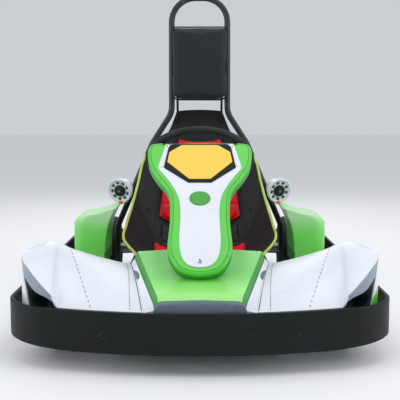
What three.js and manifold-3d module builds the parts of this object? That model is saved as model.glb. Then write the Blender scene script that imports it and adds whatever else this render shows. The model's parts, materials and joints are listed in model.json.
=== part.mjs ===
// Electric go-kart with a full bumper belt, for amusement tracks.
// Millimetres, +Z up. The kart faces -Y, its left side is +X, and the origin is
// on the floor under the middle of the belt.

import * as THREE from 'three';
import { mergeVertices } from 'three/addons/utils/BufferGeometryUtils.js';
import Module from 'manifold-3d';

const wasm = await Module();
wasm.setup();

// ---------------------------------------------------------------- sizes

const kartLength = 1720;
const kartWidth = 1160;

// Fits
const seatGap = 0.3;
const runningGap = 1.0;
const ballGap = 0.8;

// Bumper belt and the bars behind it
const beltThickness = 12;
const beltHeight = 120;
const beltBottom = 60;
const frontArchRadius = 1350;
const rearArchRadius = 2000;
const beltCornerRadius = 200;
const sideBeltFrontY = -500;
const sideBeltRearY = 500;
const barRadius = 11;
const barArmReach = 38;
const sideBarFrontY = -270;
const sideBarRearY = 250;

// Frame
const railRadius = 14;
const crossRadius = 12;
const frameZ = 80;
const railFrontX = 245;
const railRearX = 290;
const railFrontY = -745;
const railRearY = 755;
const railBendFrontY = -310;
const railBendRearY = -160;
const rearCrossY = 640;
const frontCrossY = -728;
const bracketReachX = 432;
const bracketFrontY = 120;
const bracketBend = 34;
const podPostRadius = 10;
const hoopSocketRadius = 18;
const hoopSocketHeight = 20;
const hangerWidth = 24;
const hangerHalfLength = 26;
const trayThickness = 3;
const trayRearY = 232;

// Wheels
const frontAxleY = -500;
const rearAxleY = 520;
const frontTyreRadius = 127;
const frontTyreWidth = 110;
const frontTrackHalf = 410;
const rearTyreRadius = 139.5;
const rearTyreWidth = 150;
const rearTrackHalf = 430;
const rimSeatRadius = 64;
const rimFlangeRadius = 71;
const rimFlangeThickness = 4;
const rimWallThickness = 5;
const stubRadius = 9;
const axleRadius = 20;
const axleBearingRadius = 34;
const axleBearingX = 225;
const brakeDiscRadius = 92;
const brakeDiscThickness = 6;
const brakeDiscX = 150;

// Steering
const kingpinX = 330;
const kingpinRadius = 7;
const knuckleBossRadius = 14;
const knuckleBossHeight = 50;
const kingpinLugRadius = 16;
const kingpinLugThickness = 8;
const steeringArmLength = 90;
const steeringArmThickness = 6;
const rodRadius = 6;
const rodBallRadius = 11;
const rodOverRails = 3;
const rodUnderAxle = 19;
const rodHeight = Math.max(frontTyreRadius - rodUnderAxle, frameZ + railRadius + rodBallRadius + rodOverRails);
const rodInnerX = 17;
const pitmanLength = 50;
const pitmanThickness = 6;
const columnAngle = THREE.MathUtils.degToRad(52);
const columnRadius = 10;
const columnLength = 525;
const columnBearingAt = 255;
const steeringRimRadius = 184;
const steeringRimThickness = 28;
const steeringHubBack = 11;

// Body panels
const panelThickness = 5;
const nosePadHalfWidth = 131;
const nosePadTop = 207;
const noseFrontHalfWidth = 128;
const noseRearHalfWidth = 212;
const noseFrontY = -806;
const noseRearY = -440;
const noseFrontZ = 207.5;
const noseRearZ = 284;
const noseCrown = 7;
const wingInnerFrontX = 134;
const wingInnerRearX = 218;
const wingTipX = kartWidth / 2 - 42;
const frontTyreTop = 2 * frontTyreRadius;
const wingFrontZ = frontTyreTop - 79;
const wingStep = 37;
const wingCornerRise = 100;
const wingSkirtBottom = 108;
const wingColumns = 16;
const wingSkirtColumns = 11;
const wingCheekFootX = wingTipX - 38;
const wingCheekFootZ = 125;
const wingCheekDepth = 52;
const wingWallRearY = -530;
const wingWallTop = frontTyreTop + 72;
const wingBarGap = kartWidth / 1600;

// Column fairing, in its own plane
const fairingTilt = THREE.MathUtils.degToRad(46);
const fairingFootY = -712;
const fairingFootZ = 262;
const fairingDepth = 38;
const facePanelThickness = 3;
const numberPanelThickness = 3;

// Seat
const seatShellThickness = 8;
const cushionThickness = 26;
const backPadThickness = 20;
const padGap = 0.6;
const batteryHalfWidth = 175;
const batteryFrontY = -30;
const batteryRearY = 190;

// Roll hoop and head pad
const hoopTubeRadius = 12.5;
const hoopFootX = 350;
const hoopShoulderX = 200;
const hoopNeckX = 117;
const hoopKneeZ = 255;
const hoopShoulderZ = 610;
const hoopNeckZ = 740;
const hoopTopZ = 1218;
const hoopFootY = 340;
const hoopRake = 0.05;
const hoopStayFootY = 700;
const headPadWidth = 232;
const headPadBottom = 790;
const headPadTop = 1090;
const headPadDepth = 60;
const headPadRadius = 26;

// Side pods and lamps
const podFrontY = 92;
const podRearY = 328;
const podBottom = 140;
const lampRadius = 54;
const lampBodyRadius = 41;
const lampLength = 70;
const lampX = 332;
const lampY = 258;
const lampZ = 416;

// Motor, drive and pedals
const motorLength = 190;
const motorWidth = 135;
const motorFrontY = 600;
const motorHeight = 170;
const motorX = -120;
const pedalX = 105;
const pedalY = -610;
const pedalPlateWidth = 70;
const pedalPlateHeight = 110;
const pedalStemRadius = 8;

// ---------------------------------------------------------------- materials

function finish(color, roughness, metalness = 0) {
  return new THREE.MeshStandardMaterial({ color, roughness, metalness });
}

const blackPlastic = finish(0x1e2424, 0.7);
const limePlastic = finish(0x5fd84a, 0.35);
const whitePlastic = finish(0xe8eef8, 0.3);
const yellowPlastic = finish(0xfcd848, 0.4);
const slatePlastic = finish(0x5a6678, 0.5);
const framePaint = finish(0x17191b, 0.45);
const seatBlack = finish(0x16181a, 0.6);
const seatRed = finish(0xe0102a, 0.55);
const chrome = finish(0xd8dcdf, 0.12, 1);
const steel = finish(0xa8acb0, 0.35, 1);
const aluminium = finish(0xc2c5c8, 0.4, 1);
const tyreRubber = finish(0x141414, 0.9);
const motorGrey = finish(0x3c4044, 0.5);
const gripRubber = finish(0x101112, 0.75);
const caliperRed = finish(0x8a2020, 0.4);

// ---------------------------------------------------------------- shape tools

const sides = [{ name: 'left', x: 1 }, { name: 'right', x: -1 }];

function at(x, y, z) {
  return new THREE.Vector3(x, y, z);
}

function toSolid(geometry) {
  const bare = geometry.clone();
  bare.deleteAttribute('normal');
  bare.deleteAttribute('uv');
  const merged = mergeVertices(bare, 1e-4);
  return new wasm.Manifold(new wasm.Mesh({
    numProp: 3,
    vertProperties: new Float32Array(merged.attributes.position.array),
    triVerts: new Uint32Array(merged.index.array),
  }));
}

function toGeometry(solid) {
  const mesh = solid.getMesh();
  const geometry = new THREE.BufferGeometry();
  geometry.setAttribute('position', new THREE.BufferAttribute(mesh.vertProperties, 3));
  geometry.setIndex(new THREE.BufferAttribute(mesh.triVerts, 1));
  geometry.computeVertexNormals();
  return geometry;
}

function join(geometries) {
  return toGeometry(geometries.map(toSolid).reduce((whole, next) => whole.add(next)));
}

function cut(geometry, tools) {
  return toGeometry(tools.map(toSolid).reduce((whole, next) => whole.subtract(next), toSolid(geometry)));
}

// A path that passes through each station exactly once, so that a swept tube
// has one ring for each station.
class StationPath extends THREE.Curve {
  constructor(stations) {
    super();
    this.stations = stations;
  }

  getPoint(t, target = at(0, 0, 0)) {
    const place = t * (this.stations.length - 1);
    const index = Math.min(Math.floor(place), this.stations.length - 2);
    return target.lerpVectors(this.stations[index], this.stations[index + 1], place - index);
  }

  getPointAt(u, target) {
    return this.getPoint(u, target);
  }

  getTangentAt(u, target = at(0, 0, 0)) {
    const last = this.stations.length - 1;
    const index = Math.round(u * last);
    const before = this.stations[Math.max(index - 1, 0)];
    const after = this.stations[Math.min(index + 1, last)];
    return target.subVectors(after, before).normalize();
  }
}

// The corners of a bent tube as arcs of the given centreline radius.
function bend(points, radius, arcSteps = 4) {
  const stations = [points[0]];
  for (let i = 1; i < points.length - 1; i += 1) {
    const corner = points[i];
    const back = points[i - 1].clone().sub(corner).normalize();
    const ahead = points[i + 1].clone().sub(corner).normalize();
    const half = back.angleTo(ahead) / 2;
    const reach = radius / Math.tan(half);
    const centre = back.clone().add(ahead).normalize().multiplyScalar(radius / Math.sin(half)).add(corner);
    const from = back.clone().multiplyScalar(reach).add(corner).sub(centre);
    const to = ahead.clone().multiplyScalar(reach).add(corner).sub(centre);
    const sweep = from.angleTo(to);
    for (let step = 0; step <= arcSteps; step += 1) {
      const share = step / arcSteps;
      stations.push(from.clone().multiplyScalar(Math.sin((1 - share) * sweep))
        .addScaledVector(to, Math.sin(share * sweep)).divideScalar(Math.sin(sweep)).add(centre));
    }
  }
  stations.push(points[points.length - 1]);
  return stations;
}

function tube(stations, radius, sideCount = 8) {
  const section = new THREE.Shape();
  for (let i = 0; i < sideCount; i += 1) {
    const angle = i * 2 * Math.PI / sideCount;
    section[i === 0 ? 'moveTo' : 'lineTo'](radius * Math.cos(angle), radius * Math.sin(angle));
  }
  section.closePath();
  return new THREE.ExtrudeGeometry(section, {
    steps: stations.length - 1,
    bevelEnabled: false,
    extrudePath: new StationPath(stations),
  });
}

function rod(start, end, radius, sideCount = 8) {
  const along = end.clone().sub(start);
  const geometry = new THREE.CylinderGeometry(radius, radius, along.length(), sideCount);
  geometry.applyQuaternion(new THREE.Quaternion().setFromUnitVectors(at(0, 1, 0), along.clone().normalize()));
  return geometry.translate(...start.clone().add(end).divideScalar(2).toArray());
}

function box(from, to) {
  const size = to.clone().sub(from);
  return new THREE.BoxGeometry(size.x, size.y, size.z)
    .translate(...from.clone().add(to).divideScalar(2).toArray());
}

function shapeOf(points) {
  return new THREE.Shape(points.map(([x, y]) => new THREE.Vector2(x, y)));
}

function plate(points, bottom, height) {
  return new THREE.ExtrudeGeometry(shapeOf(points), { depth: height, bevelEnabled: false })
    .translate(0, 0, bottom);
}

// A solid of revolution about X, from a closed profile of [x, radius] points.
function turnedAboutX(profile, segments) {
  const closed = [...profile, profile[0]].map(([x, radius]) => new THREE.Vector2(radius, x));
  return outward(new THREE.LatheGeometry(closed, segments).rotateZ(-Math.PI / 2));
}

function signedVolume(geometry) {
  const position = geometry.attributes.position;
  const index = geometry.index;
  let volume = 0;
  for (let i = 0; i < index.count; i += 3) {
    const [a, b, c] = [0, 1, 2].map((k) => at(0, 0, 0).fromBufferAttribute(position, index.getX(i + k)));
    volume += a.dot(b.cross(c)) / 6;
  }
  return volume;
}

function outward(geometry) {
  if (signedVolume(geometry) < 0) {
    const index = geometry.index.array;
    for (let i = 0; i < index.length; i += 3) {
      [index[i], index[i + 1]] = [index[i + 1], index[i]];
    }
  }
  geometry.computeVertexNormals();
  return geometry;
}

// A closed layer between two offsets of the surface point(u, v), measured along
// the surface's normal.
function layer(point, { u, v, near, far }) {
  const nudge = 1e-4;
  const normalAt = (a, b) => {
    const alongU = point(a + nudge, b).sub(point(a - nudge, b));
    const alongV = point(a, b + nudge).sub(point(a, b - nudge));
    return alongU.cross(alongV).normalize();
  };
  const rows = v.steps + 1;
  const columns = u.steps + 1;
  const positions = [];
  for (const offset of [near, far]) {
    for (let j = 0; j < rows; j += 1) {
      for (let i = 0; i < columns; i += 1) {
        const a = u.from + (u.to - u.from) * i / u.steps;
        const b = v.from + (v.to - v.from) * j / v.steps;
        positions.push(...point(a, b).addScaledVector(normalAt(a, b), offset).toArray());
      }
    }
  }
  const id = (side, i, j) => side * rows * columns + j * columns + i;
  const faces = [];
  const quad = (a, b, c, d) => faces.push(a, b, c, a, c, d);
  for (let j = 0; j < v.steps; j += 1) {
    for (let i = 0; i < u.steps; i += 1) {
      quad(id(0, i, j), id(0, i + 1, j), id(0, i + 1, j + 1), id(0, i, j + 1));
      quad(id(1, i, j + 1), id(1, i + 1, j + 1), id(1, i + 1, j), id(1, i, j));
    }
  }
  for (let i = 0; i < u.steps; i += 1) {
    quad(id(1, i, 0), id(1, i + 1, 0), id(0, i + 1, 0), id(0, i, 0));
    quad(id(0, i, v.steps), id(0, i + 1, v.steps), id(1, i + 1, v.steps), id(1, i, v.steps));
  }
  for (let j = 0; j < v.steps; j += 1) {
    quad(id(0, 0, j), id(0, 0, j + 1), id(1, 0, j + 1), id(1, 0, j));
    quad(id(1, u.steps, j), id(1, u.steps, j + 1), id(0, u.steps, j + 1), id(0, u.steps, j));
  }
  const geometry = new THREE.BufferGeometry();
  geometry.setAttribute('position', new THREE.Float32BufferAttribute(positions, 3));
  geometry.setIndex(faces);
  return outward(geometry);
}

function smoothThrough(points) {
  return new THREE.CatmullRomCurve3(points.map((p) => at(...p)), false, 'centripetal');
}

const kart = new THREE.Group();

function addPiece(name, geometry, material, parent = kart) {
  const mesh = new THREE.Mesh(geometry, material);
  mesh.name = name;
  parent.add(mesh);
}

// ---------------------------------------------------------------- bumper belt

// The belt's outline round one end, as [x, y] points from +X to -X. The end
// is a shallow arch that runs into two round corners.
function endOutline(direction, archRadius, inset) {
  const cornerX = kartWidth / 2 - beltCornerRadius;
  const archCentre = kartLength / 2 - archRadius;
  const cornerReach = archCentre + Math.sqrt((archRadius - beltCornerRadius) ** 2 - cornerX ** 2);
  const meet = Math.atan2(cornerX, cornerReach - archCentre);
  const points = [];
  const arc = (x, reach, radius, from, to, steps) => {
    for (let i = 0; i <= steps; i += 1) {
      const angle = from + (to - from) * i / steps;
      points.push([x + radius * Math.sin(angle), direction * (reach + radius * Math.cos(angle))]);
    }
  };
  arc(cornerX, cornerReach, beltCornerRadius - inset, Math.PI / 2, meet, 8);
  arc(0, archCentre, archRadius - inset, meet, -meet, 12);
  arc(-cornerX, cornerReach, beltCornerRadius - inset, -meet, -Math.PI / 2, 8);
  return points;
}

function endBelt(direction, archRadius, endY) {
  const halfWidth = kartWidth / 2;
  const outer = endOutline(direction, archRadius, 0);
  const inner = endOutline(direction, archRadius, beltThickness).reverse();
  const outline = [
    [halfWidth, endY], ...outer, [-halfWidth, endY],
    [-halfWidth + beltThickness, endY], ...inner, [halfWidth - beltThickness, endY],
  ];
  return outward(mergeVertices(plate(dropRepeats(outline), beltBottom, beltHeight)));
}

function dropRepeats(points) {
  return points.filter(([x, y], i) => {
    const [lastX, lastY] = points[(i + points.length - 1) % points.length];
    return Math.hypot(x - lastX, y - lastY) > 0.01;
  });
}

function addBelt() {
  addPiece('front_bumper_belt', endBelt(-1, frontArchRadius, sideBeltFrontY - seatGap), blackPlastic);
  addPiece('rear_bumper_belt', endBelt(1, rearArchRadius, sideBeltRearY + seatGap), blackPlastic);
  for (const side of sides) {
    const outerX = side.x * kartWidth / 2;
    const innerX = outerX - side.x * beltThickness;
    addPiece(`${side.name}_bumper_belt`, box(
      at(Math.min(outerX, innerX), sideBeltFrontY, beltBottom),
      at(Math.max(outerX, innerX), sideBeltRearY, beltBottom + beltHeight),
    ), blackPlastic);
  }
}

// ---------------------------------------------------------------- bumper bars

const beltMiddleZ = beltBottom + beltHeight / 2;
const barInset = beltThickness + seatGap + barRadius;

function barReachAt(archRadius, x) {
  return kartLength / 2 - archRadius + Math.sqrt((archRadius - barInset) ** 2 - x ** 2);
}

function endBar(direction, archRadius, railX, railEndY) {
  const line = dropRepeats(endOutline(direction, archRadius, barInset)).slice(4, -4)
    .map(([x, y]) => at(x, y, beltMiddleZ));
  const arms = sides.map((side) => tube(bend([
    at(side.x * railX, direction * barReachAt(archRadius, railX), beltMiddleZ),
    at(side.x * railX, railEndY + direction * barArmReach, frameZ),
    at(side.x * railX, railEndY + direction * seatGap, frameZ),
  ], 22), barRadius));
  return join([tube(line, barRadius), ...arms]);
}

function sideBar(side) {
  const beltFace = kartWidth / 2 - beltThickness - seatGap - barRadius;
  const bracketFace = bracketReachX + crossRadius + seatGap;
  return tube(bend([
    at(side.x * bracketFace, sideBarRearY, frameZ),
    at(side.x * (beltFace - 90), sideBarRearY, frameZ),
    at(side.x * beltFace, sideBarRearY - 30, beltMiddleZ),
    at(side.x * beltFace, sideBarFrontY + 30, beltMiddleZ),
    at(side.x * (beltFace - 90), sideBarFrontY, frameZ),
    at(side.x * (railXAt(sideBarFrontY) + railRadius + 4), sideBarFrontY, frameZ),
  ], 30), barRadius);
}

// The rail's half spacing where it runs from its narrow front to its wide rear.
function railXAt(y) {
  const share = THREE.MathUtils.clamp((y - railBendFrontY) / (railBendRearY - railBendFrontY), 0, 1);
  return railFrontX + (railRearX - railFrontX) * share;
}

function addBars() {
  addPiece('front_bumper_bar', endBar(-1, frontArchRadius, railFrontX, railFrontY), framePaint);
  addPiece('rear_bumper_bar', endBar(1, rearArchRadius, railRearX, railRearY), framePaint);
  for (const side of sides) {
    addPiece(`${side.name}_side_bar`, sideBar(side), framePaint);
  }
}

// ---------------------------------------------------------------- frame

const kingpinLugGap = knuckleBossHeight / 2 + runningGap;

function rail(side, radius) {
  return tube(bend([
    at(side.x * railFrontX, railFrontY, frameZ),
    at(side.x * railFrontX, railBendFrontY, frameZ),
    at(side.x * railRearX, railBendRearY, frameZ),
    at(side.x * railRearX, railRearY, frameZ),
  ], 140), radius);
}

// What is welded to a rail ends a seam's width short of it.
function besideRail(side, geometries) {
  return cut(join(geometries), [rail(side, railRadius + seatGap)]);
}

const yokeWebOffset = 30;
const yokeWebThickness = 8;

function kingpinYoke(side) {
  const x = side.x * kingpinX;
  const z = frontTyreRadius;
  const webX = side.x * (kingpinX - yokeWebOffset);
  const lug = (bottom) => join([
    rod(at(x, frontAxleY, bottom), at(x, frontAxleY, bottom + kingpinLugThickness), kingpinLugRadius, 16),
    box(
      at(Math.min(x, webX), frontAxleY - kingpinLugRadius, bottom),
      at(Math.max(x, webX), frontAxleY + kingpinLugRadius, bottom + kingpinLugThickness),
    ),
  ]);
  const reach = kingpinLugGap + kingpinLugThickness;
  const web = box(
    at(webX - yokeWebThickness / 2, frontAxleY - kingpinLugRadius, z - reach),
    at(webX + yokeWebThickness / 2, frontAxleY + kingpinLugRadius, z + reach),
  );
  const pin = rod(at(x, frontAxleY, z - reach), at(x, frontAxleY, z + reach), kingpinRadius);
  const armInnerX = railFrontX + railRadius * 0.5;
  const arm = rod(
    at(side.x * armInnerX, frontAxleY, frameZ + crossRadius),
    at(webX, frontAxleY, z - 10),
    crossRadius,
  );
  return besideRail(side, [lug(z + kingpinLugGap), lug(z - reach), web, pin, arm]);
}

function axleHanger(side) {
  const x = side.x * axleBearingX;
  const half = hangerWidth / 2;
  const ring = turnedAboutX([[-half, axleRadius + runningGap], [half, axleRadius + runningGap],
    [half, axleBearingRadius], [-half, axleBearingRadius]], 24).translate(x, rearAxleY, rearTyreRadius);
  const foot = box(
    at(Math.min(x - half, side.x * railRearX), rearAxleY - hangerHalfLength, frameZ - 6),
    at(Math.max(x + half, side.x * railRearX), rearAxleY + hangerHalfLength, frameZ + 6),
  );
  const cheek = cut(
    box(
      at(x - half, rearAxleY - hangerHalfLength, frameZ),
      at(x + half, rearAxleY + hangerHalfLength, rearTyreRadius),
    ),
    [rod(at(x - half - 8, rearAxleY, rearTyreRadius), at(x + half + 8, rearAxleY, rearTyreRadius),
      axleRadius + runningGap + 2, 24)],
  );
  return besideRail(side, [ring, foot, cheek]);
}

// A U of tube outside each rail carries a side pod on two posts and a foot of
// the roll hoop on a socket.
function podBracket(side) {
  const innerX = side.x * (railRearX + railRadius * 0.5);
  const loop = tube(bend([
    at(innerX, bracketFrontY, frameZ),
    at(side.x * bracketReachX, bracketFrontY, frameZ),
    at(side.x * bracketReachX, hoopFootY, frameZ),
    at(innerX, hoopFootY, frameZ),
  ], bracketBend), crossRadius);
  const posts = [bracketFrontY + bracketBend, hoopFootY - bracketBend].map((y) => (
    rod(at(side.x * bracketReachX, y, frameZ), at(side.x * bracketReachX, y, podBottom - seatGap), podPostRadius)));
  const socket = rod(at(side.x * hoopFootX, hoopFootY, frameZ),
    at(side.x * hoopFootX, hoopFootY, frameZ + hoopSocketHeight), hoopSocketRadius, 16);
  return besideRail(side, [loop, ...posts, socket]);
}

const crossTubes = [
  { y: frontCrossY, halfWidth: railFrontX },
  { y: frontAxleY, halfWidth: railFrontX },
  { y: batteryFrontY - 30, halfWidth: railRearX },
  { y: batteryRearY + 30, halfWidth: railRearX },
  { y: rearCrossY, halfWidth: railRearX },
];

function addFrame() {
  const crosses = crossTubes.map(({ y, halfWidth }) => (
    rod(at(-halfWidth, y, frameZ), at(halfWidth, y, frameZ), crossRadius)));
  addPiece('main_frame', join([...sides.map((side) => rail(side, railRadius)), ...crosses]), framePaint);
  for (const side of sides) {
    addPiece(`${side.name}_kingpin_yoke`, kingpinYoke(side), framePaint);
    addPiece(`${side.name}_axle_hanger`, axleHanger(side), framePaint);
    addPiece(`${side.name}_pod_bracket`, podBracket(side), framePaint);
  }
}

function floorTray() {
  const top = frameZ - railRadius - seatGap;
  const outline = [
    [railFrontX, railFrontY], [railFrontX, railBendFrontY], [railRearX, railBendRearY], [railRearX, trayRearY],
    [-railRearX, trayRearY], [-railRearX, railBendRearY], [-railFrontX, railBendFrontY], [-railFrontX, railFrontY],
  ];
  return outward(mergeVertices(plate(outline, top - trayThickness, trayThickness)));
}

// ---------------------------------------------------------------- wheels

// Half of a rim's width inside its flanges, and the tyre's bead between them.
function rimProfile(tyreWidth, boreRadius) {
  const half = tyreWidth / 2 - 6;
  const barrel = rimSeatRadius - rimWallThickness;
  return [
    [-half, rimFlangeRadius], [-half + rimFlangeThickness, rimFlangeRadius],
    [-half + rimFlangeThickness, rimSeatRadius], [half - rimFlangeThickness, rimSeatRadius],
    [half - rimFlangeThickness, rimFlangeRadius], [half, rimFlangeRadius],
    [half, barrel], [6, barrel], [6, boreRadius + 14], [26, boreRadius + 14], [26, boreRadius],
    [-4, boreRadius], [-4, barrel], [-half, barrel],
  ];
}

function tyreProfile(tyreWidth, radius) {
  const bead = tyreWidth / 2 - 6 - rimFlangeThickness - seatGap;
  const half = tyreWidth / 2;
  const wall = rimFlangeRadius + seatGap + 0.7;
  return [
    [-bead, rimSeatRadius + seatGap], [-bead, wall], [-half + 4, wall + 4], [-half, (wall + radius) / 2],
    [-half + 5, radius - 14], [-half + 22, radius], [half - 22, radius], [half - 5, radius - 14],
    [half, (wall + radius) / 2], [half - 4, wall + 4], [bead, wall], [bead, rimSeatRadius + seatGap],
  ];
}

const wheelSegments = 28;

function addWheel(prefix, x, y, radius, width, boreRadius) {
  addPiece(`${prefix}_rim`, turnedAboutX(rimProfile(width, boreRadius), wheelSegments)
    .translate(x, y, radius), aluminium);
  addPiece(`${prefix}_tyre`, turnedAboutX(tyreProfile(width, radius), wheelSegments)
    .translate(x, y, radius), tyreRubber);
}

function knuckle(side) {
  const x = side.x * kingpinX;
  const z = frontTyreRadius;
  const halfBoss = knuckleBossHeight / 2;
  const armTop = rodHeight + rodBallRadius + ballGap + steeringArmThickness;
  const boss = rod(at(x, frontAxleY, z - halfBoss), at(x, frontAxleY, z + halfBoss), knuckleBossRadius, 20);
  const stub = rod(at(x, frontAxleY, z), at(side.x * (frontTrackHalf + frontTyreWidth / 2 - 4), frontAxleY, z),
    stubRadius - runningGap);
  const arm = join([
    box(at(x - 9, frontAxleY, armTop - steeringArmThickness),
      at(x + 9, frontAxleY + steeringArmLength, armTop)),
    rod(at(x, frontAxleY + steeringArmLength, armTop - steeringArmThickness),
      at(x, frontAxleY + steeringArmLength, armTop), 12, 16),
  ]);
  const bore = rod(at(x, frontAxleY, z - halfBoss - 1), at(x, frontAxleY, z + halfBoss + 1),
    kingpinRadius + runningGap, 16);
  return cut(join([boss, stub, arm]), [bore]);
}

function tieRod(side) {
  const y = frontAxleY + steeringArmLength;
  const ends = [side.x * kingpinX, side.x * rodInnerX].map((x) => (
    new THREE.SphereGeometry(rodBallRadius, 10, 8).rotateX(Math.PI / 2).translate(x, y, rodHeight)));
  const shaft = rod(at(side.x * kingpinX, y, rodHeight), at(side.x * rodInnerX, y, rodHeight), rodRadius);
  return join([shaft, ...ends]);
}

function addRearAxle() {
  const reach = rearTrackHalf + rearTyreWidth / 2 - 18;
  addPiece('rear_axle', rod(at(-reach, rearAxleY, rearTyreRadius), at(reach, rearAxleY, rearTyreRadius),
    axleRadius, 24), steel);
  addPiece('brake_disc', turnedAboutX([
    [-brakeDiscThickness / 2, axleRadius + 14], [-14, axleRadius + 14], [-14, axleRadius + seatGap],
    [14, axleRadius + seatGap], [14, axleRadius + 14], [brakeDiscThickness / 2, axleRadius + 14],
    [brakeDiscThickness / 2, brakeDiscRadius], [-brakeDiscThickness / 2, brakeDiscRadius],
  ], 28).translate(brakeDiscX, rearAxleY, rearTyreRadius), steel);
  const padGapToDisc = brakeDiscThickness / 2 + 5;
  const caliperBottom = frameZ + crossRadius + seatGap;
  const caliperTop = rearTyreRadius + 20;
  const caliperBack = rearCrossY + crossRadius;
  const cheek = (from, to) => box(at(brakeDiscX + from, rearAxleY + 56, caliperBottom),
    at(brakeDiscX + to, caliperBack, caliperTop));
  addPiece('brake_caliper', join([
    cheek(-padGapToDisc - 14, -padGapToDisc),
    cheek(padGapToDisc, padGapToDisc + 14),
    box(at(brakeDiscX - padGapToDisc - 14, rearAxleY + brakeDiscRadius + 6, caliperBottom),
      at(brakeDiscX + padGapToDisc + 14, caliperBack, caliperTop)),
  ]), caliperRed);
}

function addWheels() {
  for (const side of sides) {
    addWheel(`${side.name}_front`, side.x * frontTrackHalf, frontAxleY, frontTyreRadius, frontTyreWidth, stubRadius);
    addWheel(`${side.name}_rear`, side.x * rearTrackHalf, rearAxleY, rearTyreRadius, rearTyreWidth,
      axleRadius + seatGap);
    addPiece(`${side.name}_knuckle`, knuckle(side), steel);
    addPiece(`${side.name}_tie_rod`, tieRod(side), steel);
  }
  addRearAxle();
}

// ---------------------------------------------------------------- steering

const columnAxis = at(0, Math.cos(columnAngle), Math.sin(columnAngle));
const columnDown = at(0, Math.sin(columnAngle), -Math.cos(columnAngle));
const pitmanHole = at(0, frontAxleY + steeringArmLength, rodHeight)
  .addScaledVector(columnAxis, rodBallRadius + ballGap + pitmanThickness / 2);
const columnFoot = pitmanHole.clone().addScaledVector(columnDown, -pitmanLength);

function onColumn(distance) {
  return columnFoot.clone().addScaledVector(columnAxis, distance);
}

// Stands a shape that is built about Z onto the column's axis.
function ontoColumn(geometry, distance) {
  geometry.rotateX(-(Math.PI / 2 - columnAngle));
  return geometry.translate(...onColumn(distance).toArray());
}

function steeringColumn() {
  const shaft = rod(onColumn(-34), onColumn(columnLength - steeringHubBack - seatGap), columnRadius, 16);
  const pitman = ontoColumn(plate([
    [-14, 14], [14, 14], [rodInnerX + 13, -pitmanLength - 12], [-rodInnerX - 13, -pitmanLength - 12],
  ], -pitmanThickness / 2, pitmanThickness), 0);
  return join([shaft, pitman]);
}

function steeringWheel() {
  const tubeRadius = steeringRimThickness / 2;
  const rim = new THREE.TorusGeometry(steeringRimRadius, tubeRadius, 8, 30);
  const hub = rod(at(0, 0, -steeringHubBack), at(0, 0, 12), 38, 20);
  const spokes = [90, 210, 330].map((degrees) => {
    const angle = THREE.MathUtils.degToRad(degrees);
    return box(at(0, -14, -3), at(steeringRimRadius, 14, 3)).rotateZ(angle);
  });
  return ontoColumn(join([rim, hub, ...spokes]), columnLength);
}

function columnSupport() {
  const bearing = rod(onColumn(columnBearingAt - 16), onColumn(columnBearingAt + 16), columnRadius + 10, 20);
  const bore = rod(onColumn(columnBearingAt - 60), onColumn(columnBearingAt + 60), columnRadius + runningGap, 20);
  const middle = onColumn(columnBearingAt);
  const legs = sides.map((side) => rod(at(side.x * 120, frontAxleY + 22, frameZ + crossRadius + 6),
    at(side.x * (columnRadius + 6), middle.y, middle.z), 9));
  const feet = sides.map((side) => box(
    at(side.x * 120 - 16, frontAxleY - 14, frameZ + crossRadius + seatGap),
    at(side.x * 120 + 16, frontAxleY + 34, frameZ + crossRadius + seatGap + 8),
  ));
  const strutUp = middle.clone().sub(fairingPoint(0, 0, 0)).dot(fairingUp);
  const strut = rod(fairingPoint(0, strutUp, -panelThickness - seatGap), middle, 9);
  const footSocket = cut(
    rod(onColumn(-34 - 12), onColumn(-14), columnRadius + 8, 20),
    [rod(onColumn(-34 - seatGap), onColumn(0), columnRadius + runningGap, 20)],
  );
  const socketArm = rod(onColumn(-40), at(0, frontAxleY + 6, frameZ + crossRadius + 8), 8);
  const socketFoot = box(
    at(-18, frontAxleY - 14, frameZ + crossRadius + seatGap),
    at(18, frontAxleY + 20, frameZ + crossRadius + seatGap + 8),
  );
  return {
    support: cut(join([bearing, ...legs, ...feet, strut]), [bore]),
    socket: join([footSocket, socketArm, socketFoot]),
  };
}

// ---------------------------------------------------------------- fairing

const fairingUp = at(0, Math.cos(fairingTilt), Math.sin(fairingTilt));
const fairingNormal = at(0, -Math.sin(fairingTilt), Math.cos(fairingTilt));

// A point of the fairing from its place across, its place up the slope and its
// height above the front face.
function fairingPoint(across, up, above) {
  return at(across, fairingFootY, fairingFootZ)
    .addScaledVector(fairingUp, up)
    .addScaledVector(fairingNormal, above);
}

function ontoFairing(geometry, above) {
  const basis = new THREE.Matrix4().makeBasis(at(1, 0, 0), fairingUp, fairingNormal);
  basis.setPosition(fairingPoint(0, 0, above));
  return geometry.applyMatrix4(basis);
}

// The fairing's right half outline, up from the foot: [half width, height].
const fairingOutline = [
  [0, 0], [58, 20], [88, 58], [98, 100], [96, 140], [93, 200], [95, 280], [106, 322],
  [133, 362], [160, 412], [173, 470], [170, 505], [150, 522],
];

function mirrored(halfOutline) {
  const left = halfOutline.filter(([x]) => x > 0).reverse().map(([x, y]) => [-x, y]);
  return [...halfOutline, ...left];
}

function insetOutline(points, distance) {
  return points.map(([x, y], i) => {
    const [ax, ay] = points[(i + points.length - 1) % points.length];
    const [bx, by] = points[(i + 1) % points.length];
    const length = Math.hypot(bx - ax, by - ay);
    return [x - distance * (by - ay) / length, y + distance * (bx - ax) / length];
  });
}

function columnFairing() {
  const outline = mirrored(fairingOutline);
  const whole = plate(outline, -fairingDepth, fairingDepth);
  const hollow = plate(insetOutline(outline, panelThickness), -fairingDepth - 1,
    fairingDepth - panelThickness + 1);
  const noseTop = layer(nosePoint, {
    u: { from: -1, to: 1, steps: 8 }, v: { from: 0, to: 1, steps: 8 }, near: seatGap, far: -60,
  });
  return cut(ontoFairing(cut(whole, [hollow]), 0), [noseTop]);
}

const faceOutline = [
  [0, 26], [42, 38], [60, 76], [64, 140], [62, 250], [72, 300], [108, 368], [136, 416], [116, 512],
];

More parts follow.
